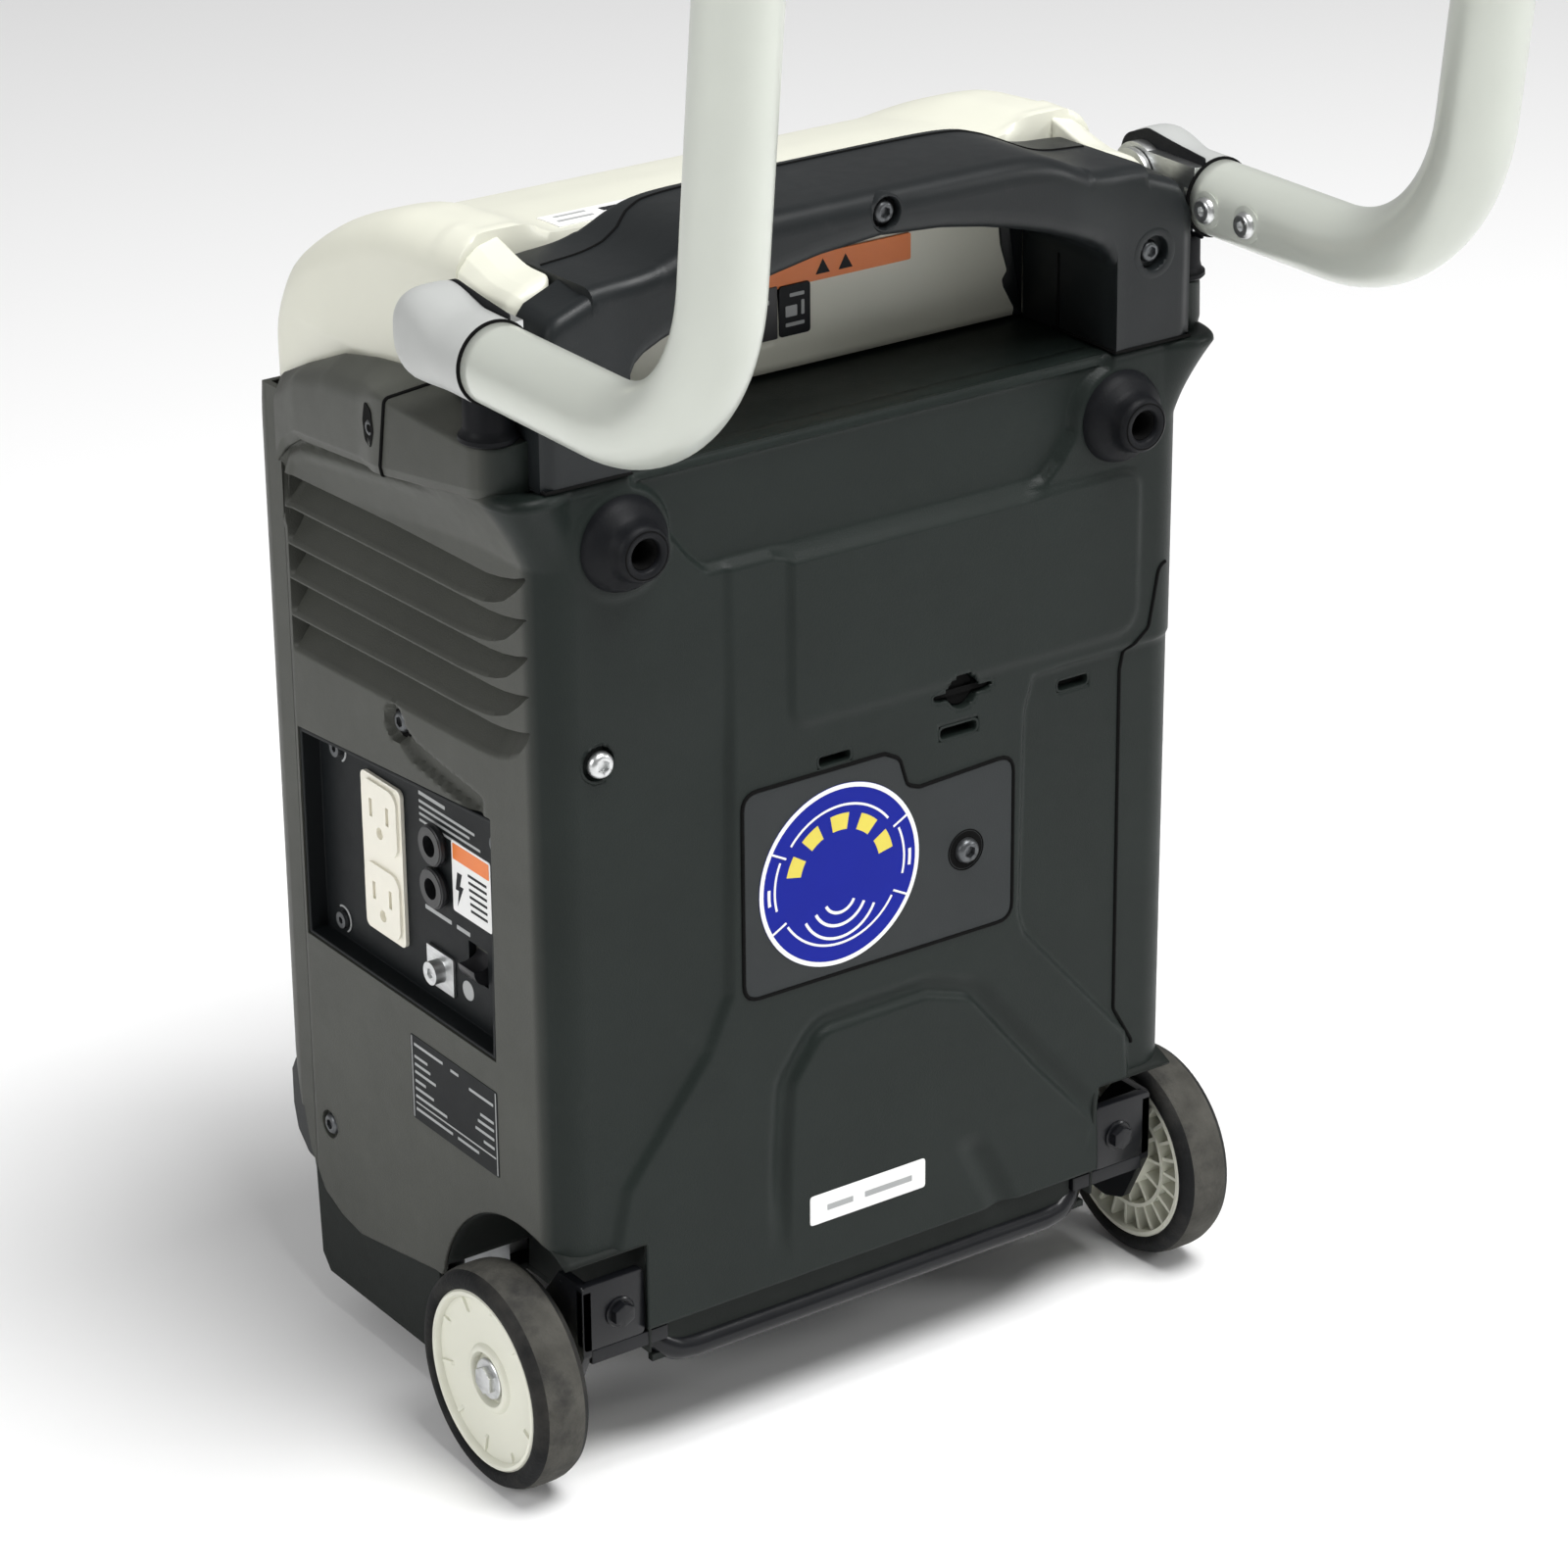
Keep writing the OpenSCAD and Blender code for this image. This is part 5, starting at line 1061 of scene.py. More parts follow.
# strips and the release pictogram, all without lettering
wall_y = -61.4
join("lid_strip", [plate_part(box_outline(-60, 464.5, 63, 475.5, 1.0), "y", wall_y - 1.2, wall_y + 0.25,
                              0.1)], "orange", "lid", sharp=12)
marks = [plate_part([(x - 3.4, 467), (x + 3.4, 467), (x, 473)], "y", wall_y + 0.1, wall_y + 0.36)
         for x in (-28, -17, 49)]
join("release_label", [plate_part(box_outline(-10.5, 444.6, 4.4, 465.4, 1.6), "y", wall_y - 1.2, wall_y
                                  + 0.95, 0.1)], "ink", "lid", sharp=12)
join("release_label_marks", [plate_part(box_outline(-7.5, 448.5, 1.5, 450, 0.5), "y", wall_y + 0.8, wall_y
                                        + 1.1),
                             plate_part(box_outline(-7.5, 452.5, -6, 458.5, 0.5), "y", wall_y + 0.8, wall_y
                                        + 1.1),
                             plate_part(box_outline(-4, 452.5, 1.5, 457, 0.5), "y", wall_y + 0.8, wall_y
                                        + 1.1),
                             plate_part(box_outline(-7.5, 460.5, -0.5, 462, 0.5), "y", wall_y + 0.8, wall_y
                                        + 1.1)], "tint", "lid")
# black ends beside the lid's rear wall
for side, tag in SIDES:
    end = [(115.6, 431), (110.5, 431), (111.6, 434), (106.2, 444), (105.6, 447), (108.2, 450.5),
           (105.0, 462), (103.4, 478),
           (103.0, 500), (115.6, 500)]
    end = rounded(end, (0.2, 1.5, 2, 3, 2, 2, 5, 4, 0.2, 0.2), 4) * (side, 1)
    plate("wall_end_" + tag, end, "y", -61.6, -60.2, "handle", edge=0.5)
join("lid_strip_marks", marks, "ink", "lid")
icon = [plate_part(box_outline(20, 452, 36, 458, 2.5), "y", -61.0, -60.7),
        plate_part(box_outline(9, 459, 22, 461, 0.5), "y", -61.0, -60.7)]
join("release_pictogram", icon, "tint", "lid_release")


def lid_top(x, y):
    q = smooth_line(lid_profile(x), LID_N)
    keep = q[(q[:, 1] > 470) & (q[:, 0] < -63)]
    return float(np.interp(y, keep[:, 0], keep[:, 1]))


def on_lid(name, x0, x1, y0, y1, look, lift=0.25, nx=30, ny=5):
    xs, ys = np.linspace(x0, x1, nx), np.linspace(y0, y1, ny)
    top = np.array([[(x, y, lid_top(x, y) + lift) for y in ys] for x in xs])
    low = top - (0, 0, 0.6)
    m = len(ys)
    faces = quads(nx, m).tolist()
    n = nx * m
    faces += [[n + k for k in f][::-1] for f in quads(nx, m).tolist()]
    rim = [i * m for i in range(nx)] + [(nx - 1) * m + j for j in range(1, m)] + [i * m + m - 1
            for i in range(nx - 2, -1, -1)] + \
          [j for j in range(m - 2, 0, -1)]
    faces += [[a, b, b + n, a + n] for a, b in zip(rim, rim[1:] + rim[:1])]
    return add(name, np.concatenate([top.reshape(-1, 3), low.reshape(-1, 3)]), faces, look, "lid")


on_lid("lid_label", -37, 99, -86, -70, "white", 0.45, 90, 9)
for k, (x0, x1, y0, y1) in enumerate([(-35, -8, -75, -71.5), (-4, 22, -81, -79.5), (28, 60, -74, -72),
                                      (66, 74, -80, -76),
                                      (80, 94, -81, -79.5), (80, 96, -75, -73.5)]):
    on_lid("lid_label_bar_%d" % (k + 1), x0, min(x1, 96), y0 - 1.5, y1 - 1.5, "tint" if k % 3 else "ink",
           0.62, 6, 3)


# ---------------------------------------------------------------- shoulders

SEAM_Y = [-196, -188, -174, -130, -97, -60, -37, -9]
SEAM_Z = [386, 394.5, 402.3, 409.0, 414.2, 420.5, 424.4, 428.8]
TOP_Y = [-196, -192.4, -170, -142, -118, -91, -65]
TOP_Z = [419, 424.5, 435, 446.5, 451.5, 454.9, 454.0]
FACE_Y = [-196, -173, -142, -110, -76]
FACE_Z = [414, 430.0, 440.0, 445.5, 449.0]
OUT_Y = [-196, -173, -110, -65]
OUT_X = [156.4, 160.4, 168.3, 171.6]


def trim_loop(y):
    bottom, top = np.interp(y, SEAM_Y, SEAM_Z), np.interp(y, TOP_Y, TOP_Z)
    brk, out = np.interp(y, FACE_Y, FACE_Z), np.interp(y, OUT_Y, OUT_X)
    start = np.interp(y, [-190, -46], [380, 397])
    foot = HALF_W + 0.4 + np.interp(y, [-194, -190, -46], [1.2, 1.5, 17.3]) * max(0, (bottom - start)
            / (427 - start)) * 0.9
    foot = max(foot, out - 3.0) if y > -175 else max(foot, HALF_W + 1.0)
    q = [(151.6, bottom), (foot, bottom), (out, bottom + 4.5), (out, brk - 1), (153.6, top),
         (151.6, top - 0.6)]
    k = smooth(-112, -82, y)
    return rounded(q, (0.3, 1.2, 2.2, 11.0, 2.0, 0.6), 5) * (1 - k) + (block_loop(y) if k > 0 else 0) * k


def block_loop(y):
    """Section of a shoulder block: a flat top, a bulging side and a rounded rear corner."""
    bottom = np.interp(y, SEAM_Y, SEAM_Z)
    turn = min(max(y + 21.5, 0) / 12.4, 1)
    out = 173.1 - 12.5 * (1 - math.sqrt(1 - turn ** 2))
    inner = np.interp(y, [-90, -65, -50, -30, -9], [455.0, 453.6, 451.2, 449.6, 448.8])
    edge = np.interp(y, [-90, -65, -30, -9], [449.0, 448.2, 448.0, 448.2])
    q = [(153.9, bottom), (out - 1.2, bottom), (out, bottom + 4), (out - 0.4, edge), (156, inner),
         (153.9, inner)]
    return rounded(q, (0.3, 1.0, 2.5, 2.6, 2.0, 0.6), 5)


def smooth_path(pts, n):
    """The same corners as a line of n points, lightly rounded."""
    p = np.array(pts, float)
    d = np.concatenate([[0], np.cumsum(np.linalg.norm(np.diff(p, axis=0), axis=1))])
    t = np.linspace(0, d[-1], n)
    q = np.stack([np.interp(t, d, p[:, k]) for k in range(3)], 1)
    q[1:-1] = (q[:-2] + 2 * q[1:-1] + q[2:]) / 4
    return q


def loft(ys, loop, side):
    rings = []
    for y in ys:
        q = loop(y)
        rings.append(np.stack([side * q[:, 0], np.full(len(q), y), q[:, 1]], 1))
    n, m = len(rings), len(rings[0])
    faces = quads(n, m, wrap_v=True).tolist() + [list(range(m))[::-1], list(range((n - 1) * m, n * m))]
    return np.array(rings).reshape(-1, 3), faces


def sheared(part, share):
    """Leans the joint between trim and block: share says how much of the lean each point takes."""
    p, f = part
    p = p.copy()
    lean = 0.15 * (p[:, 2] - 440) + 0.5 * np.maximum(171 - np.abs(p[:, 0]), 0) * smooth(441, 448, p[:, 2])
    p[:, 1] += lean * share(p[:, 1])
    return p, f


for side, tag in SIDES:
    v, f = sheared(loft(np.concatenate([np.linspace(-195.4, -100, 44), np.linspace(-97, -81.6, 8)]),
                        trim_loop, side), lambda y: smooth(-110, -82, y))
    add("trim_" + tag, v, f, "case", sharp=40)
    body_ys = np.concatenate([[-80.9, -80], np.linspace(-76, -24, 16), -21.5 + 12.3
                              * np.sin(np.linspace(0, math.pi / 2, 14))])
    v, f = sheared(loft(body_ys, block_loop, side), lambda y: smooth(-40, -80, y))
    add("block_" + tag, v, f, "case", sharp=40)
    # the dark joint between trim and block
    ring = v[:36] + (side * 0.15, -0.4, 0.1)
    seam("shoulder_split_" + tag, ring[4:34], 0.8)
    # side screw of the trim, in a teardrop hollow drawn as a flat dark patch: painted shade
    drop = rounded([(-99.5, 427), (-92, 425.5), (-89.5, 433), (-91.5, 441), (-98, 443.5), (-101.5, 434.5)],
                   3.0, 4)
    out = np.interp(drop[:, 0], OUT_Y, OUT_X)
    share = smooth(-112, -82, drop[:, 0])
    out = out * (1 - share) + 173.1 * share
    loops = [np.stack([side * (out + h), drop[:, 0], drop[:, 1]], 1) for h in (-1.2, 0.2)]
    join("trim_well_shade_" + tag, [(np.vstack(loops), quads(2, len(drop), wrap_v=True).tolist()
                               + [list(range(len(drop), 2 * len(drop)))])], "gap")
    join("trim_screw_" + tag, [hex_screw(3.6, 2.0, (side * 170.3, -93.6, 433.5), x_axis(side))], "dark_steel")
    # rubber stop with a stepped collar
    lathe("stop_" + tag, [(0, 0), (10.9, 0), (11.7, 0.9), (11.6, 2.4), (10.2, 3.6), (9.6, 6.0), (9.4, 16.2),
                          (8.6, 17.6), (0, 17.9)],
          (side * 163.5, -21, 448.4), "z", "rubber", seg=40)
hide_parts("shoulder_trims")
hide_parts("shoulder_blocks")
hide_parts("arm_stops")

# ---------------------------------------------------------------- pull handle

ARM_X, TUBE_R, ARM_Z, RUN_END, ELBOW_R, BEND_R, LEAN = 170.0, 15.5, 484.0, 68.0, 75.0, 55.0, math.radians(6.3)
ARM_RISE = 224.0
TOP_Y0 = RUN_END + ELBOW_R * math.cos(LEAN)
TOP_Z0 = ARM_Z + ELBOW_R - ELBOW_R * math.sin(LEAN)
UP = np.array([0, math.sin(LEAN), math.cos(LEAN)])


def arm_path(side):
    p = [(ARM_X, y, ARM_Z) for y in np.linspace(-4, RUN_END, 12)]
    for a in np.linspace(0, math.pi / 2 - LEAN, 30)[1:]:
        p.append((ARM_X, RUN_END + ELBOW_R * math.sin(a), ARM_Z + ELBOW_R * (1 - math.cos(a))))
    base = np.array([ARM_X, TOP_Y0, TOP_Z0])
    p += [tuple(base + UP * h) for h in np.linspace(0, ARM_RISE, 24)[1:]]
    turn = base + UP * ARM_RISE
    for a in np.linspace(0, math.pi / 2, 26)[1:]:
        p.append(tuple(turn + np.array([-BEND_R * (1 - math.cos(a)), 0, 0]) + UP * BEND_R * math.sin(a)))
    return np.array(p) * (side, 1, 1)


right_arm, left_arm = arm_path(1), arm_path(-1)
cross = np.linspace(right_arm[-1], left_arm[-1], 22)[1:-1]
whole = np.vstack([right_arm, cross, left_arm[::-1]])
rings = tube_points(whole, TUBE_R, 56)
v, f = rings.reshape(-1, 3), quads(len(rings), 56, wrap_v=True).tolist()
tube = add("handle_tube_skin", v, f, "silver", "pull_handle", sharp=60, replaces=("handle_tube",))
walled(tube, 1.9)

# sleeve on the crossbar, with shallow finger waves
xs = np.linspace(-62, 62, 90)
waves = 17.2 + 0.75 * np.cos(xs / 62 * math.pi * 4) * smooth(62, 50, np.abs(xs))
waves = np.where(np.abs(xs) > 59.5, 17.4 - (np.abs(xs) - 59.5) * 0.5, waves)
bar = right_arm[-1] * (0, 1, 1)
rings = tube_points([bar + (x, 0, 0) for x in xs], waves, 48)
inner = tube_points([bar + (-62, 0, 0), bar + (62, 0, 0)], 15.6, 48)[::-1]
both = np.concatenate([rings, inner])
add("sleeve_skin", both.reshape(-1, 3), quads(len(both), 48, wrap_u=True, wrap_v=True), "rubber",
    "pull_handle",
    replaces=("grip_sleeve",))

PIVOT = (-41.0, 486.0)
ARM_SCREW_Y = (7, 31)


def collar_part(side):
    """A cap over the pivot that runs on into the socket of the tube."""
    r_cap, r_run = 18.4, 16.55
    rings = []
    for y in np.concatenate([np.linspace(-59.2, -45, 22), np.linspace(-42, -4.3, 18)]):
        if y < PIVOT[0]:
            half = math.sqrt(max(r_cap ** 2 - (y - PIVOT[0]) ** 2, 0.0))
            zc, rz = PIVOT[1], half
            deep = 16.0 * math.sqrt(max(1 - ((y - PIVOT[0]) / r_cap) ** 2, 0)) ** 0.62
        else:
            k = float(smooth(PIVOT[0], -18, y))
            zc, rz = PIVOT[1] * (1 - k) + ARM_Z * k, r_cap * (1 - k) + r_run * k
            deep = 16.0 * (1 - k) + r_run * k
        ang = np.linspace(0, 2 * np.pi, 48, endpoint=False)
        c, s = np.cos(ang), np.sin(ang)
        e = 2.0 if y > -20 else 2.0 + 0.9 * (1 - float(smooth(-44, -20, y)))
        px = np.sign(c) * np.abs(c) ** (2 / e) * deep
        pz = np.sign(s) * np.abs(s) ** (2 / e) * rz
        x = np.maximum(ARM_X + px, 163.3)
        rings.append(np.stack([side * x, np.full(48, y), zc + pz], 1))
    rings = np.array(rings)
    n = len(rings)
    faces = quads(n, 48, wrap_v=True).tolist() + [list(range(48))[::-1], list(range((n - 1) * 48, n * 48))]
    return rings.reshape(-1, 3), faces


for side, tag in SIDES:
    v, f = collar_part(side)
    add("collar_" + tag, v, f, "collar", "pull_handle", sharp=48)
    liner = rounded([(-59.2, 486), (-55, 499.5), (-41, 505.2), (-24, 503.0), (-4.4, 501.0), (-4.4, 467.6),
                     (-24, 467.6), (-41, 467.4),
                     (-55, 472.5)], (9, 9, 9, 6, 1, 1, 6, 9, 9), 5)
    plate("collar_liner_" + tag, liner, "x", side * 163.4, side * 162.55, "rubber", "pull_handle", edge=0.25)
    a = np.linspace(0, 2 * math.pi, 41)[:-1]
    seam("collar_gap_" + tag, [(side * (ARM_X + 15.7 * math.cos(k)), -4.1, ARM_Z + 15.7 * math.sin(k))
                               for k in a], 0.9,
         "pull_handle", True)
    axis = x_axis(-side)
    heads = [hex_screw(5.6, 3.2, (side * (ARM_X - TUBE_R + 0.4), y, ARM_Z), axis)
             for y in ARM_SCREW_Y]
    join("arm_heads_" + tag, heads, "zinc", "pull_handle")
    rim = [(5.2, 0), (7.4, 0.2), (7.7, 0.9), (6.2, 1.3), (5.2, 1.3)]
    washers = [lathe_part(rim, (side * (ARM_X - TUBE_R + 1.2), y, ARM_Z), axis, 36) for y in ARM_SCREW_Y]
    join("arm_washers_" + tag, washers, "silver", "pull_handle")
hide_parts("arm_collars")

# ---------------------------------------------------------------- bumpers

bump = [(6.4, 1.5), (6.4, 15.2), (7.2, 16.1), (9.4, 16.2), (10.8, 15.4), (11.6, 13.2), (12.0, 9.6),
        (13.4, 7.6), (16.2, 5.6),
        (18.2, 3.2), (18.9, 1.2), (19.4, -0.4)]
for side, tag in SIDES:
    lathe("bumper_" + tag, bump, (side * BUMPER_X, 0, BUMPER_Z), "y", "rubber", seg=56, sharp=50)
    # painted shade: a dark plug fills the bumper's bore, in place of the shadow inside it
    lathe("bumper_bore_shade_" + tag, [(0, 3.0), (4.6, 3.0), (5.1, 12.6), (5.9, 13.6), (6.5, 13.6), (6.5, 2.0),
                                 (0, 2.0)],
          (side * BUMPER_X, 0, BUMPER_Z), "y", "gap", seg=40)
    seam("bumper_ring_" + tag, [(side * BUMPER_X + 9.4 * math.cos(k), 16.0, BUMPER_Z + 9.4 * math.sin(k))
                                for k in np.linspace(0, 2 * math.pi, 41)[:-1]], 0.35, closed=True)
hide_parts("rear_bumpers")

# ---------------------------------------------------------------- wheels

for side, tag in SIDES:
    body = "wheel_" + tag
    axis = x_axis(side)
    centre = (0, AXLE_Y, AXLE_Z)
    # tyre: rounded shoulders and a slightly crowned, scuffed tread
    prof = [(38.45, 153.8), (38.45, 175.6), (39.4, 176.6), (41.0, 176.9), (43.2, 176.5), (45.0, 175.2),
            (46.0, 173.2)]
    wall_out = lathe_points(prof, centre, axis, 120)
    prof_in = [(46.0, 156.3), (45.0, 154.3), (43.2, 153.0), (41.0, 152.6), (39.4, 152.9), (38.45, 153.8)]
    wall_in = lathe_points(prof_in, centre, axis, 120)
    add("tyre_walls_" + tag, np.concatenate([wall_in, wall_out[1:]]),
        quads(len(prof) + len(prof_in) - 1, 120, wrap_v=True),
        "tyre", body, sharp=60)
    tread = lathe_points([(46.0, 173.2), (46.6, 171.6), (46.95, 169.0), (47.0, 164.7), (46.95, 160.5),
                          (46.6, 157.9), (46.0, 156.3)],
                         centre, axis, 120)
    add("tyre_tread_" + tag, tread, quads(7, 120, wrap_v=True), "tread", body, sharp=60)
    # hub: outer rim, dished face with small ribs, and the bolt well
    face = [(38.3, 154.0), (38.4, 175.2), (37.6, 176.1), (36.2, 176.2), (35.4, 175.4), (35.0, 173.4),
            (33.5, 172.7), (20, 172.0),
            (15.0, 172.2), (14.2, 173.4), (13.2, 174.1), (11.8, 174.0), (11.2, 173.0), (11.1, 170.2),
            (6.3, 170.1)]
    parts = [lathe_part(face, centre, axis, 96)]
    for k in range(10):
        t = math.radians(36 * k + 12)
        d = np.array([0, math.cos(t), math.sin(t)])
        w = np.array([0, -math.sin(t), math.cos(t)])
        r0, r1 = (27.5, 34.8) if k % 2 else (30.5, 34.8)
        b = []
        for r, h in ((r0, 172.2), (r0 + 1.2, 173.5), (r1, 173.9)):
            for e in (-0.7, 0.7):
                b.append(np.array(centre) + d * r + w * e + np.array([side * h, 0, 0]))
        for r in (r0, r1):
            for e in (-1.1, 1.1):
                b.append(np.array(centre) + d * r + w * e + np.array([side * 171.6, 0, 0]))
        parts.append((np.array(b), [[0, 1, 3, 2], [2, 3, 5, 4], [0, 6, 7, 1], [4, 5, 9, 8], [0, 2, 4, 8, 6],
                                    [1, 7, 9, 5, 3]]))
    # inner side: rim, two rings and the rays between them
    inner = [(38.3, 154.0), (37.6, 153.4), (36.2, 153.5), (36.0, 155.0), (36.0, 168.5)]
    parts.append(lathe_part(inner, centre, axis, 96))
    parts.append(lathe_part([(36.0, 168.5), (6.3, 168.5)], centre, axis, 96))
    for r in (24.5, 13.5):
        ring = [(r + 1.0, 168.6), (r + 0.8, 155.2 if r > 20 else 151.0),
                (r - 0.8, 155.2 if r > 20 else 151.0), (r - 1.0, 168.6)]
        parts.append(lathe_part(ring, centre, axis, 72))
    for k in range(24):
        for r0, r1, off in ((25, 36.3, 0), (14, 24, 7.5)):
            if off and k % 2:
                continue
            t = math.radians(15 * k + off)
            d, w = np.array([0, math.cos(t), math.sin(t)]), np.array([0, -math.sin(t), math.cos(t)])
            b = [np.array(centre) + d * r + w * e + np.array([side * h, 0, 0])
                 for r in (r0, r1) for h, half in ((168.7, 1.1), (156.0, 0.75)) for e in (-half, half)]
            parts.append((np.array(b), [[0, 1, 3, 2], [4, 6, 7, 5], [0, 2, 6, 4], [1, 5, 7, 3],
                                        [2, 3, 7, 6]]))
    parts.append(lathe_part([(13.5, 151.0), (6.3, 149.6)], centre, axis, 48))
    hub = join("hub_skin_" + tag, parts, "cream", body, sharp=40)
    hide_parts("hub_" + tag)
    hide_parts("tyre_" + tag)

# bright axle bolts and black bracket bolts
def bolt_parts(r, head, washer, origin, axis):
    prof = [(0, head + 1.2), (r * 0.82, head + 1.2), (r * 0.97, head + 0.9), (r, head + 0.3), (r, 1.2)]
    rim = [(washer * 0.5, 1.2), (washer - 0.5, 1.2), (washer, 0.8), (washer, 0)]
    return [lathe_part(prof, origin, axis, 36, flat=6), lathe_part(rim, origin, axis, 36)]


for side, tag in SIDES:
    axis = x_axis(side)
    join("axle_bolt_" + tag, bolt_parts(6.2, 2.8, 8.8, (side * 172.0, AXLE_Y, AXLE_Z), axis), "zinc")
    join("bracket_bolt_" + tag, bolt_parts(5.2, 3.4, 6.6, (side * 127.5, -2.0, 76), "y"), "black_paint")
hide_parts("frame_bolts")

# the frame: a bent cross tube between two folded brackets
half = [(0, -5.6, 46.5), (90, -5.6, 46.5), (98, -6.2, 47.5), (104, -8.0, 51.0), (109, -10.5, 56.0),
        (112, -13.0, 60.0)]
left_half = [(-x, y, z) for x, y, z in half[:0:-1]]
frame_parts = [tube_part(smooth_path(left_half + half, 160), 5.5, 20)]
SIDE_PLATE = rounded([(-2, 92), (-2, 60), (-14, 36), (-26, 32), (-42, 34), (-48, 47), (-40, 66), (-20, 92)],
                     (3, 4, 4, 6, 6, 6, 6, 3), 4)
for side in (1, -1):
    frame_parts.append(plate_part(box_outline(side * 115.4 if side > 0 else -145, 62, 145 if side > 0 else
                                              -115.4, 92, 2.5), "y", -6, -2, 0.5))
    frame_parts.append(plate_part(SIDE_PLATE, "x", side * 141, side * 145, 0.5))
    frame_parts.append(plate_part(box_outline(min(side * 104, side * 141.1), -20,
                                              max(side * 104, side * 141.1), -2, 1.0), "z", 56, 62.1, 0.4))
join("frame_skin", frame_parts, "black_paint", replaces=("axle_frame",))

# ---------------------------------------------------------------- finishes of the CAD pieces in view

LOOKS = {
    "case": ["front_shell"], "base": ["base_tray"], "panel": ["control_panel"], "ivory": ["duplex_outlet"],
    "switch": ["parallel_sockets", "breaker_rocker", "lid_release", "starter_grip"],
    "zinc": ["ground_terminal", "lid_hinge_pins", "arm_brackets", "arm_screws", "pivot_bolts", "crankshaft",
             "connecting_rod"],
    "dark_steel": ["panel_screws"], "rubber": ["front_feet", "gas_hose", "engine_mounts"],
    "handle": ["handle_catches"], "cast": ["gas_regulator", "crankcase", "piston", "mixer", "inverter_unit"],
    "hot": ["muffler"], "copper": ["alternator_stator"],
         "engine": ["alternator_rotor", "cooling_fan", "recoil_housing",
                                                                    "air_cleaner", "can_cradle"],
    "ceramic": ["spark_plug", "recoil_pulley"], "can": ["gas_cans"], "lever": ["can_lever"],
         "rope": ["starter_rope"],
    "yellow": ["oil_cap"], "red": ["engine_switch"],
}
EASED = {"front_shell": 1.2, "base_tray": 0.8, "control_panel": 0.4, "duplex_outlet": 0.5,
         "lid_release": 0.6, "starter_grip": 1.6,
         "handle_catches": 1.4, "front_feet": 0.8, "arm_brackets": 0.5, "panel_screws": 0.25,
         "breaker_rocker": 0.3, "can_lever": 0.8, "engine_switch": 0.6, "gas_regulator": 0.8,
         "ground_terminal": 0.2, "pivot_bolts": 0.3, "inverter_unit": 0.6, "muffler": 0.8}
for look, names in LOOKS.items():
    for name in names:
        o = NODES[name]
        o.data.materials.clear()
        o.data.materials.append(M[look])
        if name in EASED:
            weld = o.modifiers.new("weld", "WELD")
            weld.merge_threshold = 0.00001
            bevelled(o, EASED[name])
for name in ("rear_shell", "side_cover", "maintenance_door", "grip_lower_shell", "grip_upper_shell", "lid",
             "shoulder_trims",
             "shoulder_blocks", "arm_stops", "handle_tube", "grip_sleeve", "arm_collars", "rear_bumpers",
             "hub_right", "hub_left",
             "tyre_right", "tyre_left", "case_screws", "frame_bolts", "axle_frame"):
    NODES[name].data.materials.clear()
    NODES[name].data.materials.append(M["case"])

# the starter rope: a twisted cord of three strands along the CAD rope, in place of it
rope_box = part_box("starter_rope")
rope_x = (rope_box[0][0] + rope_box[1][0]) / 2 / MM
rope_z = (rope_box[0][2] + rope_box[1][2]) / 2 / MM
y0, y1 = (rope_box[0][1] - REAR) / MM, (rope_box[1][1] - REAR) / MM
ys = np.linspace(y0 + 3, y1, 200)
twist = []
for k in range(3):
    a = ys / 7.0 * 2 * math.pi / 3 + k * 2 * math.pi / 3
    path = np.stack([rope_x + 0.8 * np.cos(a), ys, rope_z + 0.8 * np.sin(a)], 1)
    twist.append(tube_part(path, 0.95, 8))
rope = join("starter_cord", twist, "rope", "body")
rope.parent = None
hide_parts("starter_rope")
row((rope_x, y0 + 22, rope_z))
row((rope_x, y1 - 4, rope_z))
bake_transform(rope)

# ---------------------------------------------------------------- camera, light and floor

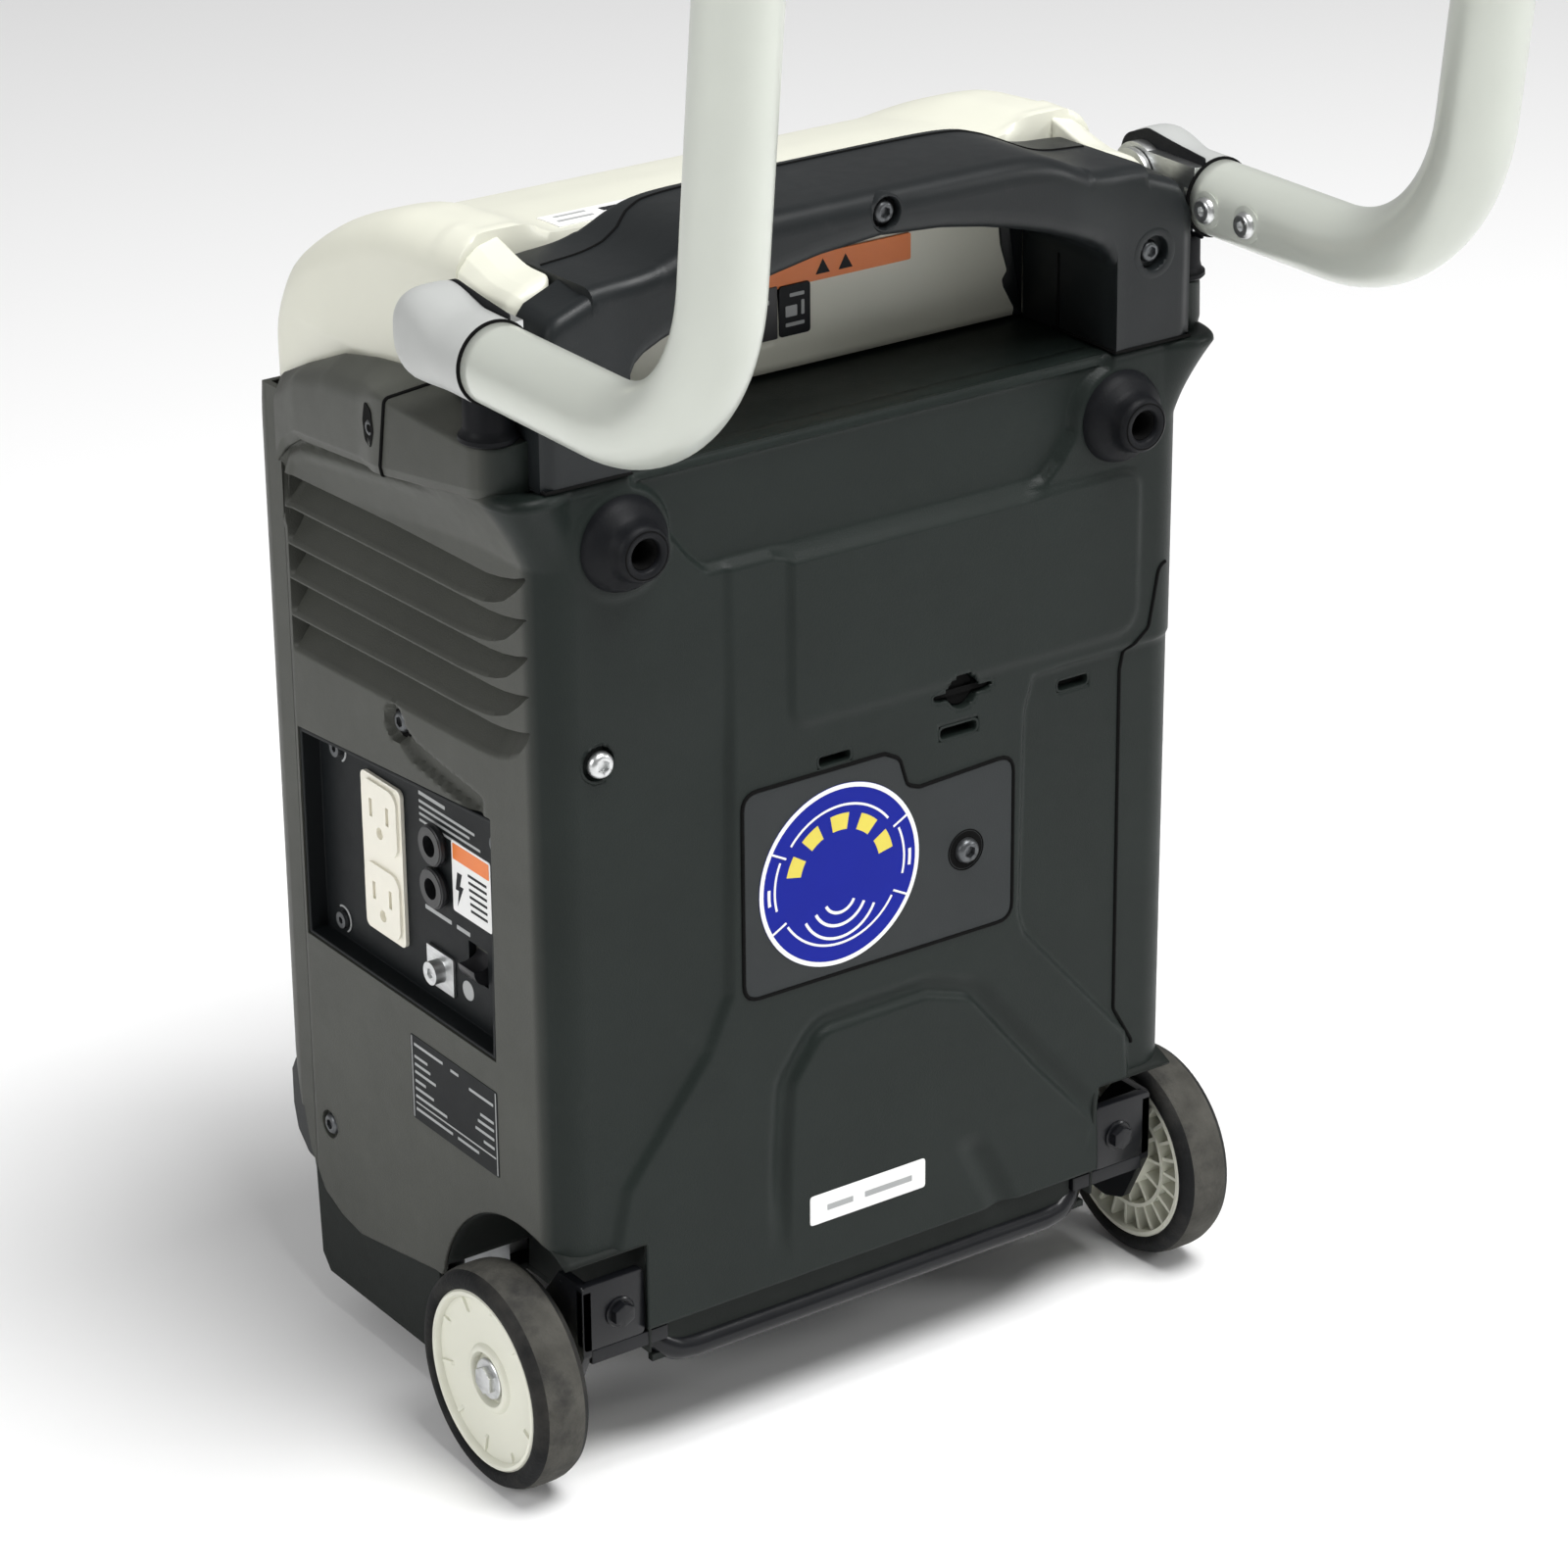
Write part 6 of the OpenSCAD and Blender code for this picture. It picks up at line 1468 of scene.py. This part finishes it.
scene = bpy.context.scene
cam = bpy.data.objects.new("camera", bpy.data.cameras.new("camera"))
scene.collection.objects.link(cam)
scene.camera = cam
cam.data.sensor_width, cam.data.lens = 36.0, 113.4
cam.data.clip_start, cam.data.clip_end = 0.05, 30
right, up, fwd = (np.array(v) for v in ((-0.81666, 0.57707, -0.00731), (-0.23963, -0.32753, 0.91395),
                                        (-0.52501, -0.74814, -0.40577)))
basis = Matrix([list(right), list(up), list(-fwd)]).transposed().to_4x4()
cam.matrix_world = Matrix.Translation(row((1060.7, 1445.3, 1070.1))) @ basis

world = bpy.data.worlds.new("studio")
scene.world = world
world.use_nodes = True
bg = world.node_tree.nodes["Background"]
bg.inputs["Color"].default_value = (1, 1, 1, 1)
bg.inputs["Strength"].default_value = 0.30
scene.view_settings.view_transform = "Standard"


def lamp(name, at, to, size, power, colour=(1, 1, 1)):
    data = bpy.data.lights.new(name, "AREA")
    data.shape, data.size, data.energy, data.color = "DISK", size, power, colour
    o = bpy.data.objects.new(name, data)
    scene.collection.objects.link(o)
    o.location = at
    o.rotation_mode = "QUATERNION"
    o.rotation_quaternion = (Vector(to) - Vector(at)).to_track_quat("-Z", "Y")
    o.visible_camera = False
    return o


lamp("top_light", (-0.4, 1.15, 3.2), (0, 0, 0.3), 1.9, 128)
lamp("side_light", (3.4, -0.3, 1.9), (0, 0, 0.3), 1.8, 46)
lamp("rear_light", (-2.9, 2.0, 1.6), (0, 0, 0.35), 0.9, 30)

floor_mat = bpy.data.materials.new("floor_white")
floor_mat.use_nodes = True
fb = floor_mat.node_tree.nodes["Principled BSDF"]
fb.inputs["Base Color"].default_value = (0.93, 0.93, 0.93, 1)
fb.inputs["Roughness"].default_value = 0.9
fb.inputs["Specular IOR Level"].default_value = 0.1
fm = bpy.data.meshes.new("floor")
fm.from_pydata([(-12, -12, 0), (12, -12, 0), (12, 12, 0), (-12, 12, 0)], [], [(0, 1, 2, 3)])
fm.materials.append(floor_mat)
ground = bpy.data.objects.new("floor", fm)
scene.collection.objects.link(ground)
